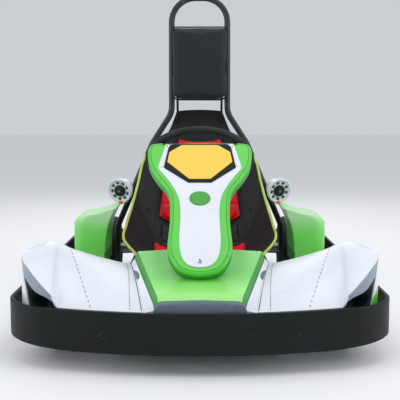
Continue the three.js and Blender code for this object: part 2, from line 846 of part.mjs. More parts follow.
const numberOutline = [[0, 345], [37, 345], [117, 408], [103, 497], [92, 508]];

function addFairing() {
  addPiece('column_fairing', columnFairing(), limePlastic);
  addPiece('fairing_face', ontoFairing(outward(mergeVertices(
    plate(mirrored(faceOutline), 0, facePanelThickness))), seatGap), whitePlastic);
  addPiece('number_panel', ontoFairing(outward(mergeVertices(
    plate(mirrored(numberOutline), 0, numberPanelThickness))), facePanelThickness + 2 * seatGap), yellowPlastic);
}

// ---------------------------------------------------------------- nose and wings

function nosePad() {
  const inset = beltThickness + 3;
  const depth = 48;
  const reachAt = (x, extra) => kartLength / 2 - frontArchRadius
    + Math.sqrt((frontArchRadius - inset - extra) ** 2 - x ** 2);
  const steps = 8;
  const xs = Array.from({ length: steps + 1 }, (_, i) => nosePadHalfWidth * (1 - 2 * i / steps));
  const outline = [...xs.map((x) => [x, -reachAt(x, 0)]), ...xs.reverse().map((x) => [x, -reachAt(x, depth)])];
  const bottom = beltMiddleZ + barRadius + seatGap;
  return outward(mergeVertices(plate(outline, bottom, nosePadTop - bottom)));
}

function nosePoint(u, v) {
  const halfWidth = noseFrontHalfWidth + (noseRearHalfWidth - noseFrontHalfWidth) * v;
  const z = noseFrontZ + panelThickness + (noseRearZ - noseFrontZ) * v + noseCrown * (1 - u * u);
  return at(halfWidth * u, noseFrontY + (noseRearY - noseFrontY) * v, z);
}

function nosePanel() {
  return layer(nosePoint, {
    u: { from: -1, to: 1, steps: 8 }, v: { from: 0, to: 1, steps: 8 }, near: 0, far: -panelThickness,
  });
}

const wingRear = smoothThrough([
  [wingInnerRearX, -458, frontTyreTop - 11],
  [330, -462, frontTyreTop + 18],
  [400, -478, frontTyreTop + 49],
  [470, -500, frontTyreTop + 80],
  [wingTipX, wingWallRearY, frontTyreTop + 76],
]);
const wingSkirtShare = wingSkirtColumns / wingColumns;
const wingStepShare = (wingSkirtColumns + 1) / wingColumns;

// The line just behind the bumper bar, around the belt's corner.
function behindBar(x, z) {
  const inset = beltThickness + seatGap + 2 * barRadius + wingBarGap;
  const cornerX = kartWidth / 2 - beltCornerRadius;
  const archCentre = kartLength / 2 - frontArchRadius;
  const cornerReach = archCentre + Math.sqrt((frontArchRadius - beltCornerRadius) ** 2 - cornerX ** 2);
  const meet = Math.atan2(cornerX, cornerReach - archCentre);
  const onArch = x < (frontArchRadius - inset) * Math.sin(meet);
  const reach = onArch
    ? archCentre + Math.sqrt((frontArchRadius - inset) ** 2 - x ** 2)
    : cornerReach + Math.sqrt(Math.max((beltCornerRadius - inset) ** 2 - (x - cornerX) ** 2, 0));
  return at(x, -reach, z);
}

// The wing's front edge is low behind the bumper bar, then steps up over the
// cheek and climbs to the outer corner.
function wingFront(u) {
  const x = wingInnerFrontX + (wingTipX - wingInnerFrontX) * u;
  const step = THREE.MathUtils.smoothstep(u, wingSkirtShare, wingStepShare);
  const climb = Math.max(u - wingStepShare, 0) / (1 - wingStepShare);
  return behindBar(x, wingFrontZ + wingStep * step + wingCornerRise * climb);
}

function wingPoint(u, v) {
  const tipShare = THREE.MathUtils.clamp(u, 0, 1);
  const rear = wingRear.getPoint(tipShare);
  const front = wingFront(tipShare);
  const forward = THREE.MathUtils.clamp(v, 0, 1);
  const height = 1 - (1 - forward) ** 1.7;
  return at(front.x + (rear.x - front.x) * forward, front.y + (rear.y - front.y) * forward,
    front.z + (rear.z - front.z) * height);
}

function skirtPoint(u, v) {
  const top = wingFront(u);
  return top.clone().setZ(wingSkirtBottom + (top.z - wingSkirtBottom) * v);
}

// The cheek hangs from the stepped edge to a foot behind the belt's corner,
// hollowed halfway down.
function cheekPoint(u, v) {
  const top = wingFront(wingSkirtShare + (1 - wingSkirtShare) * u);
  const start = wingFront(wingSkirtShare).x;
  const foot = behindBar(start + (wingCheekFootX - start) * u, wingCheekFootZ);
  const hollow = wingCheekDepth * Math.sin(Math.PI * v) * Math.sin(Math.PI * u);
  return foot.lerp(top, v).add(at(-hollow / 4, hollow, 0));
}

function wingWall() {
  const corner = behindBar(wingTipX, wingWallTop);
  const foot = behindBar(wingCheekFootX, wingCheekFootZ);
  const outer = [at(wingTipX, wingWallRearY, 0), corner, behindBar((wingTipX + wingCheekFootX) / 2, 0), foot];
  const inner = outer.map((point) => at(point.x - panelThickness, point.y + panelThickness, 0));
  inner[0].y = wingWallRearY;
  const outline = [...outer, ...inner.reverse()].map((point) => [point.x, point.y]);
  const wall = outward(mergeVertices(plate(outline, wingCheekFootZ, wingWallTop - wingCheekFootZ)));
  const edge = wingFront(1).clone().sub(foot);
  const ahead = box(at(0, -beltCornerRadius, -kartWidth), at(kartWidth, 0, kartWidth))
    .rotateX(-Math.atan2(edge.y, edge.z)).translate(0, foot.y, foot.z);
  return cut(wall, [ahead]);
}

function wing(side) {
  const top = layer(wingPoint, {
    u: { from: 0, to: 1, steps: wingColumns }, v: { from: 0, to: 1, steps: 6 }, near: 0, far: -panelThickness,
  });
  const skirt = layer(skirtPoint, {
    u: { from: 0, to: wingSkirtShare, steps: wingSkirtColumns },
    v: { from: 0, to: 1, steps: 1 }, near: 0, far: -panelThickness,
  });
  const cheek = layer(cheekPoint, {
    u: { from: 0, to: 1, steps: wingColumns - wingSkirtColumns },
    v: { from: 0, to: 1, steps: 4 }, near: 0, far: -panelThickness,
  });
  const barArm = rod(
    at(railFrontX, -barReachAt(frontArchRadius, railFrontX), beltMiddleZ),
    at(railFrontX, railFrontY - barArmReach, frameZ),
    barRadius + 4,
  );
  const whole = cut(join([top, skirt, cheek, wingWall()]), [barArm]);
  return side.x > 0 ? whole : outward(whole.scale(-1, 1, 1));
}

function addNose() {
  addPiece('nose_pad', nosePad(), slatePlastic);
  addPiece('nose_panel', nosePanel(), limePlastic);
  for (const side of sides) {
    addPiece(`${side.name}_front_wing`, wing(side), whitePlastic);
  }
}

// ---------------------------------------------------------------- seat

// The bucket's centre line from its front lip up the back, and its side edge.
const seatCentre = smoothThrough([[0, -85, 185], [0, 20, 152], [0, 150, 142], [0, 232, 190],
  [0, 288, 330], [0, 330, 480], [0, 366, 620], [0, 398, 752]]);
const seatEdge = smoothThrough([[228, -60, 195], [292, 20, 253], [290, 120, 300], [272, 205, 372],
  [254, 268, 452], [226, 326, 560], [138, 366, 650], [96, 396, 746]]);
const seatSections = 20;
const seatColumns = 12;

function seatPoint(u, v) {
  const centre = seatCentre.getPoint(THREE.MathUtils.clamp(v, 0, 1));
  const edge = seatEdge.getPoint(THREE.MathUtils.clamp(v, 0, 1));
  const lift = Math.abs(u) ** 2.6;
  return at(edge.x * u, centre.y + (edge.y - centre.y) * lift, centre.z + (edge.z - centre.z) * lift);
}

// A layer of the seat that covers some of the bucket's own grid of facets.
function seatLayer(columnsOut, firstSection, lastSection, near, far) {
  const reach = columnsOut * 2 / seatColumns;
  return layer(seatPoint, {
    u: { from: -reach, to: reach, steps: columnsOut * 2 },
    v: { from: firstSection / seatSections, to: lastSection / seatSections, steps: lastSection - firstSection },
    near,
    far,
  });
}

function addSeat() {
  const shell = seatLayer(seatColumns / 2, 0, seatSections, 0, -seatShellThickness);
  shell.computeBoundingBox();
  addPiece('seat_shell', shell, seatBlack);
  addPiece('seat_cushion', seatLayer(4, 1, 7, padGap, padGap + cushionThickness), seatRed);
  addPiece('seat_back_pad', seatLayer(4, 10, 17, padGap, padGap + backPadThickness), seatRed);
  addPiece('battery_box', box(
    at(-batteryHalfWidth, batteryFrontY, frameZ - railRadius),
    at(batteryHalfWidth, batteryRearY, shell.boundingBox.min.z - seatGap),
  ), motorGrey);
}

// ---------------------------------------------------------------- roll hoop

function hoopPoint(x, z) {
  return at(x, hoopFootY + (z - frameZ) * hoopRake, z);
}

function rollHoop() {
  const footZ = frameZ + hoopSocketHeight + seatGap + hoopTubeRadius * hoopRake;
  const half = [
    hoopPoint(hoopFootX, footZ), hoopPoint(hoopFootX, hoopKneeZ), hoopPoint(hoopShoulderX, hoopShoulderZ),
    hoopPoint(hoopNeckX, hoopNeckZ), hoopPoint(hoopNeckX, hoopTopZ),
  ];
  const mirror = half.map((p) => at(-p.x, p.y, p.z)).reverse();
  const loop = tube(bend([...half, ...mirror], 100, 4), hoopTubeRadius, 12);
  const railTop = frameZ + railRadius + seatGap;
  const stays = sides.flatMap((side) => [
    rod(
      hoopPoint(side.x * hoopShoulderX, hoopShoulderZ - 20),
      at(side.x * railRearX, hoopStayFootY, railTop + 14),
      10,
    ),
    rod(at(side.x * railRearX, hoopStayFootY, railTop), at(side.x * railRearX, hoopStayFootY, railTop + 14), 16),
  ]);
  return join([loop, ...stays]);
}

function headPad() {
  const half = headPadWidth / 2;
  const shape = new THREE.Shape();
  const [bottom, top, r] = [headPadBottom, headPadTop, headPadRadius];
  shape.moveTo(-half + r, bottom);
  shape.lineTo(half - r, bottom);
  shape.absarc(half - r, bottom + r, r, -Math.PI / 2, 0, false);
  shape.absarc(half - r, top - r, r, 0, Math.PI / 2, false);
  shape.absarc(-half + r, top - r, r, Math.PI / 2, Math.PI, false);
  shape.absarc(-half + r, bottom + r, r, Math.PI, 3 * Math.PI / 2, false);
  const geometry = new THREE.ExtrudeGeometry(shape, {
    depth: headPadDepth, bevelEnabled: false, curveSegments: 5,
  });
  const hoopLine = hoopPoint(0, headPadBottom);
  return geometry.rotateX(Math.PI / 2)
    .translate(0, -hoopTubeRadius - seatGap, -headPadBottom)
    .rotateX(-Math.atan(hoopRake))
    .translate(...hoopLine.toArray());
}

// ---------------------------------------------------------------- side pods

// The pod's section seen from the front, from its outer foot round: [x, z].
const podSection = [
  [498, podBottom], [500, 290], [494, 315], [478, 331], [455, 338], [405, 344], [372, 352],
  [345, 361], [330, 364], [341, 342], [358, 305], [370, 255], [372, podBottom],
];

function sidePod(side) {
  const points = podSection.map(([x, z]) => [side.x * x, z]);
  const geometry = new THREE.ExtrudeGeometry(shapeOf(points), { depth: podRearY - podFrontY, bevelEnabled: false });
  return geometry.rotateX(Math.PI / 2).translate(0, podRearY, 0);
}

function lamp(side) {
  const profile = [
    [0, -8], [34, -8], [lampRadius - 6, 0], [lampRadius, -4], [lampRadius - 2, -16],
    [lampBodyRadius, -26], [lampBodyRadius - 2, -lampLength + 14],
    [lampBodyRadius - 14, -lampLength], [0, -lampLength],
  ].map(([radius, z]) => new THREE.Vector2(radius, z));
  const body = outward(new THREE.LatheGeometry(profile, 24));
  const facing = at(side.x * 0.33, -0.91, -0.25).normalize();
  body.applyQuaternion(new THREE.Quaternion().setFromUnitVectors(at(0, 1, 0), facing));
  const face = at(side.x * lampX, lampY, lampZ);
  body.translate(...face.toArray());
  const end = face.clone().addScaledVector(facing, -lampLength + 12);
  const leg = new THREE.Line3(
    hoopPoint(side.x * hoopFootX, hoopKneeZ),
    hoopPoint(side.x * hoopShoulderX, hoopShoulderZ),
  );
  const hold = leg.closestPointToPoint(end, true, at(0, 0, 0));
  const towards = end.clone().sub(hold).normalize();
  const stem = rod(end, hold.clone().addScaledVector(towards, hoopTubeRadius + seatGap), 9);
  return join([body, stem]);
}

function addPodsAndLamps() {
  for (const side of sides) {
    addPiece(`${side.name}_side_pod`, sidePod(side), limePlastic);
    addPiece(`${side.name}_lamp`, lamp(side), chrome);
  }
}

// ---------------------------------------------------------------- motor, pedals

function motor() {
  const bottom = frameZ + crossRadius + seatGap;
  return box(
    at(motorX - motorLength / 2, motorFrontY, bottom),
    at(motorX + motorLength / 2, motorFrontY + motorWidth, bottom + motorHeight),
  );
}

function pedal(side) {
  const x = side.x * pedalX;
  const trayTop = frameZ - railRadius - seatGap;
  const stem = rod(at(x, pedalY, trayTop + 6), at(x, pedalY - 22, trayTop + 120), pedalStemRadius);
  const base = box(at(x - 24, pedalY - 20, trayTop + seatGap), at(x + 24, pedalY + 20, trayTop + seatGap + 8));
  const pad = box(at(-pedalPlateWidth / 2, -4, 0), at(pedalPlateWidth / 2, 4, pedalPlateHeight))
    .rotateX(THREE.MathUtils.degToRad(14)).translate(x, pedalY - 8, trayTop + 40);
  return join([stem, base, pad]);
}

addBelt();
addBars();
addFrame();
addPiece('floor_tray', floorTray(), aluminium);
addWheels();
addPiece('steering_column', steeringColumn(), steel);
addPiece('steering_wheel', steeringWheel(), gripRubber);
const { support, socket } = columnSupport();
addPiece('column_support', support, framePaint);
addPiece('column_foot_bearing', socket, framePaint);
addFairing();
addNose();
addSeat();
addPiece('roll_hoop', rollHoop(), framePaint);
addPiece('head_pad', headPad(), seatBlack);
addPodsAndLamps();
addPiece('motor', motor(), motorGrey);
addPiece('brake_pedal', pedal(sides[0]), framePaint);
addPiece('accelerator_pedal', pedal(sides[1]), framePaint);

export default kart;
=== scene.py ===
import json
import math

import bmesh
import bpy
from mathutils import Matrix, Vector


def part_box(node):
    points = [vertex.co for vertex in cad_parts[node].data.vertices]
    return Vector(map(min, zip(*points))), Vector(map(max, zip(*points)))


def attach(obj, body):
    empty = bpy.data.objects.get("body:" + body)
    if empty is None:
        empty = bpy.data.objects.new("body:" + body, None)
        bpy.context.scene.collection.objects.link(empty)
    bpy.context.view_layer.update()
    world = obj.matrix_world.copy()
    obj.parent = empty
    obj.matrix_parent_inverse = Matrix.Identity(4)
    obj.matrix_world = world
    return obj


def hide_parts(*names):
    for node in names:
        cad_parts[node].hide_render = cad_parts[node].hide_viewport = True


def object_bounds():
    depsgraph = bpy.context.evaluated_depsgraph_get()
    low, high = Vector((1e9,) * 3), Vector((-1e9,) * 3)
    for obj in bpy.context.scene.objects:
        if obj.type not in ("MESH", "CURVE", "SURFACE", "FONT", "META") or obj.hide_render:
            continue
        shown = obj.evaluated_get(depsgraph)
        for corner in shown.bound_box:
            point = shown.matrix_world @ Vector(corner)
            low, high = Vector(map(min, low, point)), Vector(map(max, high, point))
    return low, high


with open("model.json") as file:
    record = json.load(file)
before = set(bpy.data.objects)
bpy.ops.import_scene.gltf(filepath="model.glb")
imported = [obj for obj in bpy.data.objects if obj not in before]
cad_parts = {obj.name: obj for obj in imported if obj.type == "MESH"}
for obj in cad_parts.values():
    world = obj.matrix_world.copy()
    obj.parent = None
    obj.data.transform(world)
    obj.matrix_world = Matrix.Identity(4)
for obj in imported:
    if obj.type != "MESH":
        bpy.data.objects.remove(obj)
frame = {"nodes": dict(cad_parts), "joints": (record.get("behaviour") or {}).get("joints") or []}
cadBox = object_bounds()
print("frame loaded:", len(frame["nodes"]), "nodes")


def linked(name, data):
    # a new object in the scene
    made = bpy.data.objects.new(name, data)
    bpy.context.scene.collection.objects.link(made)
    return made


# The camera stands low in front of the kart, on its middle line
view = {"place": (-0.004, -2.98, 0.72), "pitch": 84.0, "turn": -0.1, "lens": 70.8}
lens = bpy.data.cameras.new("frontView")
lens.lens = view["lens"]
camera = linked("frontView", lens)
camera.location = view["place"]
camera.rotation_euler = (math.radians(view["pitch"]), 0, math.radians(view["turn"]))
bpy.context.scene.camera = camera


def tint(code):
    channels = [int(code[i:i + 2], 16) / 255 for i in (0, 2, 4)]
    return tuple(c / 12.92 if c <= 0.04045 else ((c + 0.055) / 1.055) ** 2.4 for c in channels) + (1.0,)


def shade(colour, share):
    return tuple(channel * share for channel in colour[:3]) + (1.0,)


class Wire:
    # a node's socket that can stand in a sum
    def __init__(self, finish, socket):
        self.finish = finish
        self.socket = socket

    def sum(self, operation, first, second):
        return self.finish.node("ShaderNodeMath", {"operation": operation}, {0: first, 1: second})

    def __add__(self, other):
        return self.sum("ADD", self, other)

    def __radd__(self, other):
        return self.sum("ADD", other, self)

    def __sub__(self, other):
        return self.sum("SUBTRACT", self, other)

    def __rsub__(self, other):
        return self.sum("SUBTRACT", other, self)

    def __mul__(self, other):
        return self.sum("MULTIPLY", self, other)

    def __rmul__(self, other):
        return self.sum("MULTIPLY", other, self)

    def __pow__(self, other):
        return self.sum("POWER", self, other)


class Finish:
    def __init__(self, name):
        self.material = bpy.data.materials.new(name)
        self.material.use_nodes = True
        self.tree = self.material.node_tree
        self.shader = self.tree.nodes["Principled BSDF"]
        self.place = self.node("ShaderNodeTexCoord", output="Object")

    def node(self, kind, settings=None, inputs=None, output=0):
        made = self.tree.nodes.new(kind)
        for key, value in (settings or {}).items():
            setattr(made, key, value)
        for key, value in (inputs or {}).items():
            self.feed(made.inputs[key], value)
        return Wire(self, made.outputs[output])

    def feed(self, socket, value):
        if isinstance(value, Wire):
            self.tree.links.new(value.socket, socket)
        else:
            socket.default_value = value

    def set(self, **values):
        for key, value in values.items():
            self.feed(self.shader.inputs[key.replace("_", " ")], value)
        return self.material

    def stretched(self, x, y, z):
        return self.node("ShaderNodeVectorMath", {"operation": "MULTIPLY"},
                         {0: self.place, 1: (x, y, z)})

    def noise(self, scale, detail=2.0, roughness=0.5, place=None):
        return self.node("ShaderNodeTexNoise", inputs={
            "Vector": place or self.place, "Scale": scale, "Detail": detail, "Roughness": roughness})

    def cells(self, scale, feature="SMOOTH_F1", smoothness=0.35):
        inputs = {"Vector": self.place, "Scale": scale}
        if feature == "SMOOTH_F1":
            inputs["Smoothness"] = smoothness
        return self.node("ShaderNodeTexVoronoi", {"feature": feature}, inputs)

    def step(self, value, start, end, low=0.0, high=1.0):
        return self.node("ShaderNodeMapRange", {"interpolation_type": "SMOOTHSTEP"}, {
            "Value": value, "From Min": start, "From Max": end, "To Min": low, "To Max": high})

    def blend(self, share, first, second):
        return self.node("ShaderNodeMix", {"data_type": "RGBA"},
                         {0: share, 6: first, 7: second}, output=2)

    def edges(self):
        # a broken mask along the sharp edges
        pointed = self.node("ShaderNodeNewGeometry", output="Pointiness")
        return self.step(pointed, 0.53, 0.62) * self.step(self.noise(70, 3), 0.38, 0.6)

    def bump(self, height, distance, strength=1.0, under=None):
        inputs = {"Height": height, "Distance": distance, "Strength": strength}
        if under:
            inputs["Normal"] = under
        return self.node("ShaderNodeBump", inputs=inputs)


def mouldedPlastic(name, colour, roughness, scuff="c8cdd2", scuffShare=0.25, grain=0.00006, shine=0.5):
    # sprayed or moulded panels: a fine skin, faint clouding, hairline scuffs
    f = Finish(name)
    scratches = f.step(f.noise(22, 4, 0.6, f.stretched(1, 9, 5)), 0.63, 0.7) * f.step(f.noise(4), 0.45, 0.6)
    clouded = f.blend(f.step(f.noise(3.5, 3), 0.35, 0.7, 0, 0.55), colour, shade(colour, 0.86))
    marked = f.blend(scratches * scuffShare, clouded, tint(scuff))
    worn = f.blend(f.edges() * 0.35, marked, shade(colour, 1.12))
    skin = f.bump(f.noise(260, 2), grain)
    return f.set(
        Base_Color=worn,
        Roughness=f.noise(9, 4) * 0.16 + (roughness - 0.08) + scratches * 0.2,
        Specular_IOR_Level=shine,
        Normal=f.bump(f.noise(38, 1), 0.0003, 0.25, skin))


def paintedHighlightPlastic(name, colour, light, start, end, axis=1):
    # moulded panel with a painted highlight: its colour lightens towards the start, along Y or Z
    f = Finish(name)
    along = f.node("ShaderNodeSeparateXYZ", inputs={"Vector": f.place}, output=axis)
    # painted highlight: from the light colour at the start to the plastic's own colour at the end; edge wear
    # is laid over it below
    tone = f.blend(f.step(along + f.noise(6, 3) * 0.05, start, end), light, colour)
    worn = f.blend(f.edges() * 0.3, tone, light)
    return f.set(
        Base_Color=worn,
        Roughness=f.noise(9, 4) * 0.16 + 0.24,
        Normal=f.bump(f.noise(38, 1), 0.0003, 0.25, f.bump(f.noise(260, 2), 0.00006)))


def bumperRubber(name, colour):
    # the belt: extruded black polyethylene with scuffs that run along it
    f = Finish(name)
    along = f.noise(18, 5, 0.65, f.stretched(1, 1, 22))
    rubs = f.step(along, 0.58, 0.7) * f.step(f.noise(3.2, 2), 0.5, 0.66)
    nicks = f.step(f.noise(120, 2), 0.7, 0.76)
    base = f.blend(f.step(f.noise(6, 4), 0.3, 0.75), colour, shade(colour, 1.3))
    rubbed = f.blend(rubs * 0.22, base, tint("565e64"))
    return f.set(
        Base_Color=f.blend(nicks * 0.2, rubbed, tint("5c656a")),
        Roughness=0.46 + f.noise(30, 3) * 0.14 + rubs * 0.14,
        Specular_IOR_Level=0.22,
        Normal=f.bump(along + f.noise(300, 2) * 0.6, 0.00022, 0.6))


def sheetPaint(name, colour, roughness, coat=0.25):
    # powder coat over steel tube, chipped where it is knocked
    f = Finish(name)
    chips = f.step(f.noise(85, 4, 0.6), 0.66, 0.69) * f.step(f.noise(7), 0.5, 0.62)
    peel = f.bump(f.noise(420, 1), 0.00005, 0.7)
    return f.set(
        Base_Color=f.blend(chips + f.edges() * 0.3, f.blend(
            f.step(f.noise(8, 3), 0.3, 0.7), colour, shade(colour, 1.35)), tint("8b9094")),
        Roughness=roughness + f.noise(24, 3) * 0.15 - 0.05 + chips * 0.15,
        Metallic=chips * 0.7,
        Coat_Weight=coat,
        Coat_Roughness=0.25,
        Normal=f.bump(1 - chips, 0.0001, 0.5, peel))


def bareMetal(name, colour, roughness, run=(1, 1, 60), depth=0.00003, soil="54504a"):
    # turned or rolled metal with its fine lines, and dull soil in patches
    f = Finish(name)
    lines = f.noise(40, 3, 0.7, f.stretched(*run))
    soiled = f.step(f.noise(11, 5, 0.6), 0.52, 0.74)
    return f.set(
        Base_Color=f.blend(soiled * 0.45, f.blend(lines, shade(colour, 0.88), colour), tint(soil)),
        Metallic=1 - soiled * 0.3,
        Roughness=lines * 0.16 + (roughness - 0.06) + soiled * 0.22,
        Normal=f.bump(lines, depth, 0.5))


def tyreRubber(name):
    f = Finish(name)
    dust = f.step(f.noise(13, 5, 0.62), 0.42, 0.72)
    return f.set(
        Base_Color=f.blend(dust * 0.55, tint("17181a"), tint("3d3b38")),
        Roughness=0.74 + dust * 0.2,
        Normal=f.bump(f.noise(210, 4, 0.6) + f.cells(160) * 0.5, 0.0003, 0.6))


def vinyl(name, colour, roughness, grain=230, crease="000000"):
    # coated seat cloth: pebbled grain, soft sheen, darker where it is handled
    f = Finish(name)
    pebble = f.cells(grain, smoothness=0.6)
    fold = f.noise(11, 5, 0.55)
    return f.set(
        Base_Color=f.blend(f.step(pebble, 0.2, 0.85, 0.0, 0.5), f.blend(
            f.step(fold, 0.35, 0.7), colour, shade(colour, 0.8)), f.blend(0.35, colour, tint(crease))),
        Roughness=roughness + f.noise(17, 3) * 0.16 - 0.04,
        Sheen_Weight=0.05,
        Specular_IOR_Level=0.3,
        Normal=f.bump(1 - pebble, 0.00035, 0.55, f.bump(fold, 0.0012, 0.35)))


def gripFoam(name):
    f = Finish(name)
    pores = f.cells(420, smoothness=0.4)
    return f.set(
        Base_Color=f.blend(f.step(f.noise(15, 3), 0.4, 0.7), tint("121314"), tint("24272a")),
        Roughness=0.62 + f.noise(30, 2) * 0.2,
        Normal=f.bump(pores, 0.0003, 0.5))


def plateYellow(name, colour):
    # the race-number plate: glossy sheet with faint rub marks
    f = Finish(name)
    rub = f.step(f.noise(14, 5, 0.7, f.stretched(1, 3, 1)), 0.55, 0.75)
    return f.set(
        Base_Color=f.blend(rub * 0.3, f.blend(f.noise(6, 2), colour, tint("f4c93a")), tint("fff0b0")),
        Roughness=0.32 + rub * 0.22,
        Normal=f.bump(f.noise(50, 2), 0.0002, 0.3))


def lampSpot(name, colour, roughness, glow=0.0):
    f = Finish(name)
    facets = f.cells(260, "F1")
    return f.set(
        Base_Color=f.blend(f.step(facets, 0.0, 0.6), colour, shade(colour, 0.6)),
        Roughness=roughness + f.noise(60, 2) * 0.08,
        Emission_Color=colour,
        Emission_Strength=glow,
        Coat_Weight=0.5,
        Normal=f.bump(facets, 0.0004, 0.5))


finishes = {
    "belt": bumperRubber("beltBlack", tint("101415")),
    "lime": mouldedPlastic("limePlastic", tint("58d040"), 0.34),
    # painted highlight: the cowl lightens towards its front, the pods towards their tops
    "limeCowl": paintedHighlightPlastic("cowlPlasticPaintedHighlight", tint("5ccc46"), tint("a0ec80"), -0.81, -0.6),
    "limePod": paintedHighlightPlastic("podPlasticPaintedHighlight", tint("74e25c"), tint("b8eab0"), 0.375, 0.28, 2),
    # darker lime: painted shade on the fairing's lower side wall, the cowl's turned-down sides and the pods
    # below the crease; also the badge's own colour
    "limeDark": mouldedPlastic("limeShadeAndBadgePlastic", tint("37a22d"), 0.42),
    "white": mouldedPlastic("whitePlastic", tint("e6ebf4"), 0.3, scuff="8d959e", scuffShare=0.3),
    # a grey copy of the white plastic: painted shade on the wings' bevels
    "whiteShade": mouldedPlastic("whitePlasticPaintedShade", tint("8f99a8"), 0.36, scuff="5a6270"),
    "slate": mouldedPlastic("slatePlastic", tint("5a6678"), 0.5, grain=0.00015),
    "moulding": mouldedPlastic("blackMoulding", tint("14181b"), 0.5, scuff="5c646a",
                               grain=0.00015, shine=0.3),
    "border": mouldedPlastic("blackBorder", tint("0a0c0e"), 0.4, scuff="444a50", shine=0.18),
    "yellow": plateYellow("yellowPlate", tint("f8c82f")),
    "frame": sheetPaint("blackPowderCoat", tint("15181b"), 0.42),
    "caliper": sheetPaint("redPowderCoat", tint("8a1a1a"), 0.36, 0.4),
    "tray": bareMetal("rolledAluminium", tint("b4b8bb"), 0.42, (60, 1, 1), 0.00008),
    "aluminium": bareMetal("castAluminium", tint("c2c5c8"), 0.36, (1, 8, 8), 0.0001),
    "steel": bareMetal("drawnSteel", tint("a8acb0"), 0.3, (50, 1, 1)),
    "lampShell": mouldedPlastic("lampWhite", tint("dfe3ea"), 0.2, scuff="9aa0a8"),
    "chrome": bareMetal("chromePlate", tint("dfe3e6"), 0.12, (1, 1, 4), 0.00001, "8d9298"),
    "tyre": tyreRubber("slickRubber"),
    "seatBlack": vinyl("blackVinyl", tint("15191c"), 0.5),
    "seatRed": vinyl("redVinyl", tint("de0a1f"), 0.46, crease="5a0010"),
    "headPad": vinyl("padVinyl", tint("1e242b"), 0.52, 300),
    "piping": vinyl("limePiping", tint("c4dc6c"), 0.5, 420, "405010"),
    "grip": gripFoam("gripFoam"),
    "motor": bareMetal("motorHousing", tint("5a5f64"), 0.5, (1, 6, 6), 0.0001),
    "spot": lampSpot("lampSpot", tint("20262c"), 0.15),
    "amber": lampSpot("amberLens", tint("f09020"), 0.2, 0.15),
}
print("finishes made:", len(finishes))


def splinePoint(points, share):
    # centripetal curve through every point, the same as the frame's
    last = len(points) - 1
    place = min(max(share, 0.0), 1.0) * last
    index = min(int(place), last - 1)
    weight = place - index
    p1 = Vector(points[index])
    p2 = Vector(points[index + 1])
    p0 = Vector(points[index - 1]) if index else 2 * p1 - p2
    p3 = Vector(points[index + 2]) if index + 2 <= last else 2 * p2 - p1
    d0, d1, d2 = (math.sqrt((b - a).length) or 1.0 for a, b in ((p0, p1), (p1, p2), (p2, p3)))
    leave = ((p1 - p0) / d0 - (p2 - p0) / (d0 + d1) + (p2 - p1) / d1) * d1
    arrive = ((p2 - p1) / d1 - (p3 - p1) / (d1 + d2) + (p3 - p2) / d2) * d1
    return (p1 + leave * weight + (3 * p2 - 3 * p1 - 2 * leave - arrive) * weight ** 2
            + (2 * p1 - 2 * p2 + leave + arrive) * weight ** 3)


def splineLine(points, count):
    return [splinePoint(points, i / count) for i in range(count + 1)]


def closedSpline(points, steps=6):
    # a smooth ring through 2-D points
    ring = [Vector(p) for p in points]
    count = len(ring)
    line = []
    for i in range(count):
        p0, p1, p2, p3 = (ring[(i + k) % count] for k in (-1, 0, 1, 2))
        for j in range(steps):
            t = j / steps
            line.append(0.5 * (2 * p1 + (p2 - p0) * t + (2 * p0 - 5 * p1 + 4 * p2 - p3) * t * t
                               + (3 * p1 - p0 - 3 * p2 + p3) * t ** 3))
    return line


def bent(points, radius, steps=8):
    # the same bends as the frame's tubes, with more steps
    line = [Vector(points[0])]
    for before, corner, after in zip(points, points[1:], points[2:]):
        corner = Vector(corner)
        back = (Vector(before) - corner).normalized()
        ahead = (Vector(after) - corner).normalized()
        half = back.angle(ahead) / 2
        middle = corner + (back + ahead).normalized() * radius / math.sin(half)
        start = corner + back * radius / math.tan(half) - middle
        end = corner + ahead * radius / math.tan(half) - middle
        sweep = start.angle(end)
        for i in range(steps + 1):
            share = i / steps
            line.append(middle + (start * math.sin((1 - share) * sweep) + end * math.sin(share * sweep))
                        / math.sin(sweep))
    line.append(Vector(points[-1]))
    return line


def roundedRing(points, radius):
    # a closed 2-D outline with every corner rounded
    flat = [Vector((p.x, p.y, 0)) for p in points]
    start = (flat[-1] + flat[0]) / 2
    return [Vector((p.x, p.y)) for p in bent([start] + flat + [start], radius, 5)[:-1]]


def mirrorX(points):
    return [Vector((-p[0], *p[1:])) for p in points]


def rowOf(start, end, count):
    return [start + (end - start) * i / max(count - 1, 1) for i in range(count)]


def fullTurn(count):
    return rowOf(0, 2 * math.pi, count + 1)[:-1]


def insetRing(ring, distance):
    # the outline moved in by the distance
    moved = []
    for i, point in enumerate(ring):
        ahead = (ring[(i + 1) % len(ring)] - ring[i - 1]).normalized()
        moved.append(point + Vector((-ahead.y, ahead.x)) * distance)
    return moved


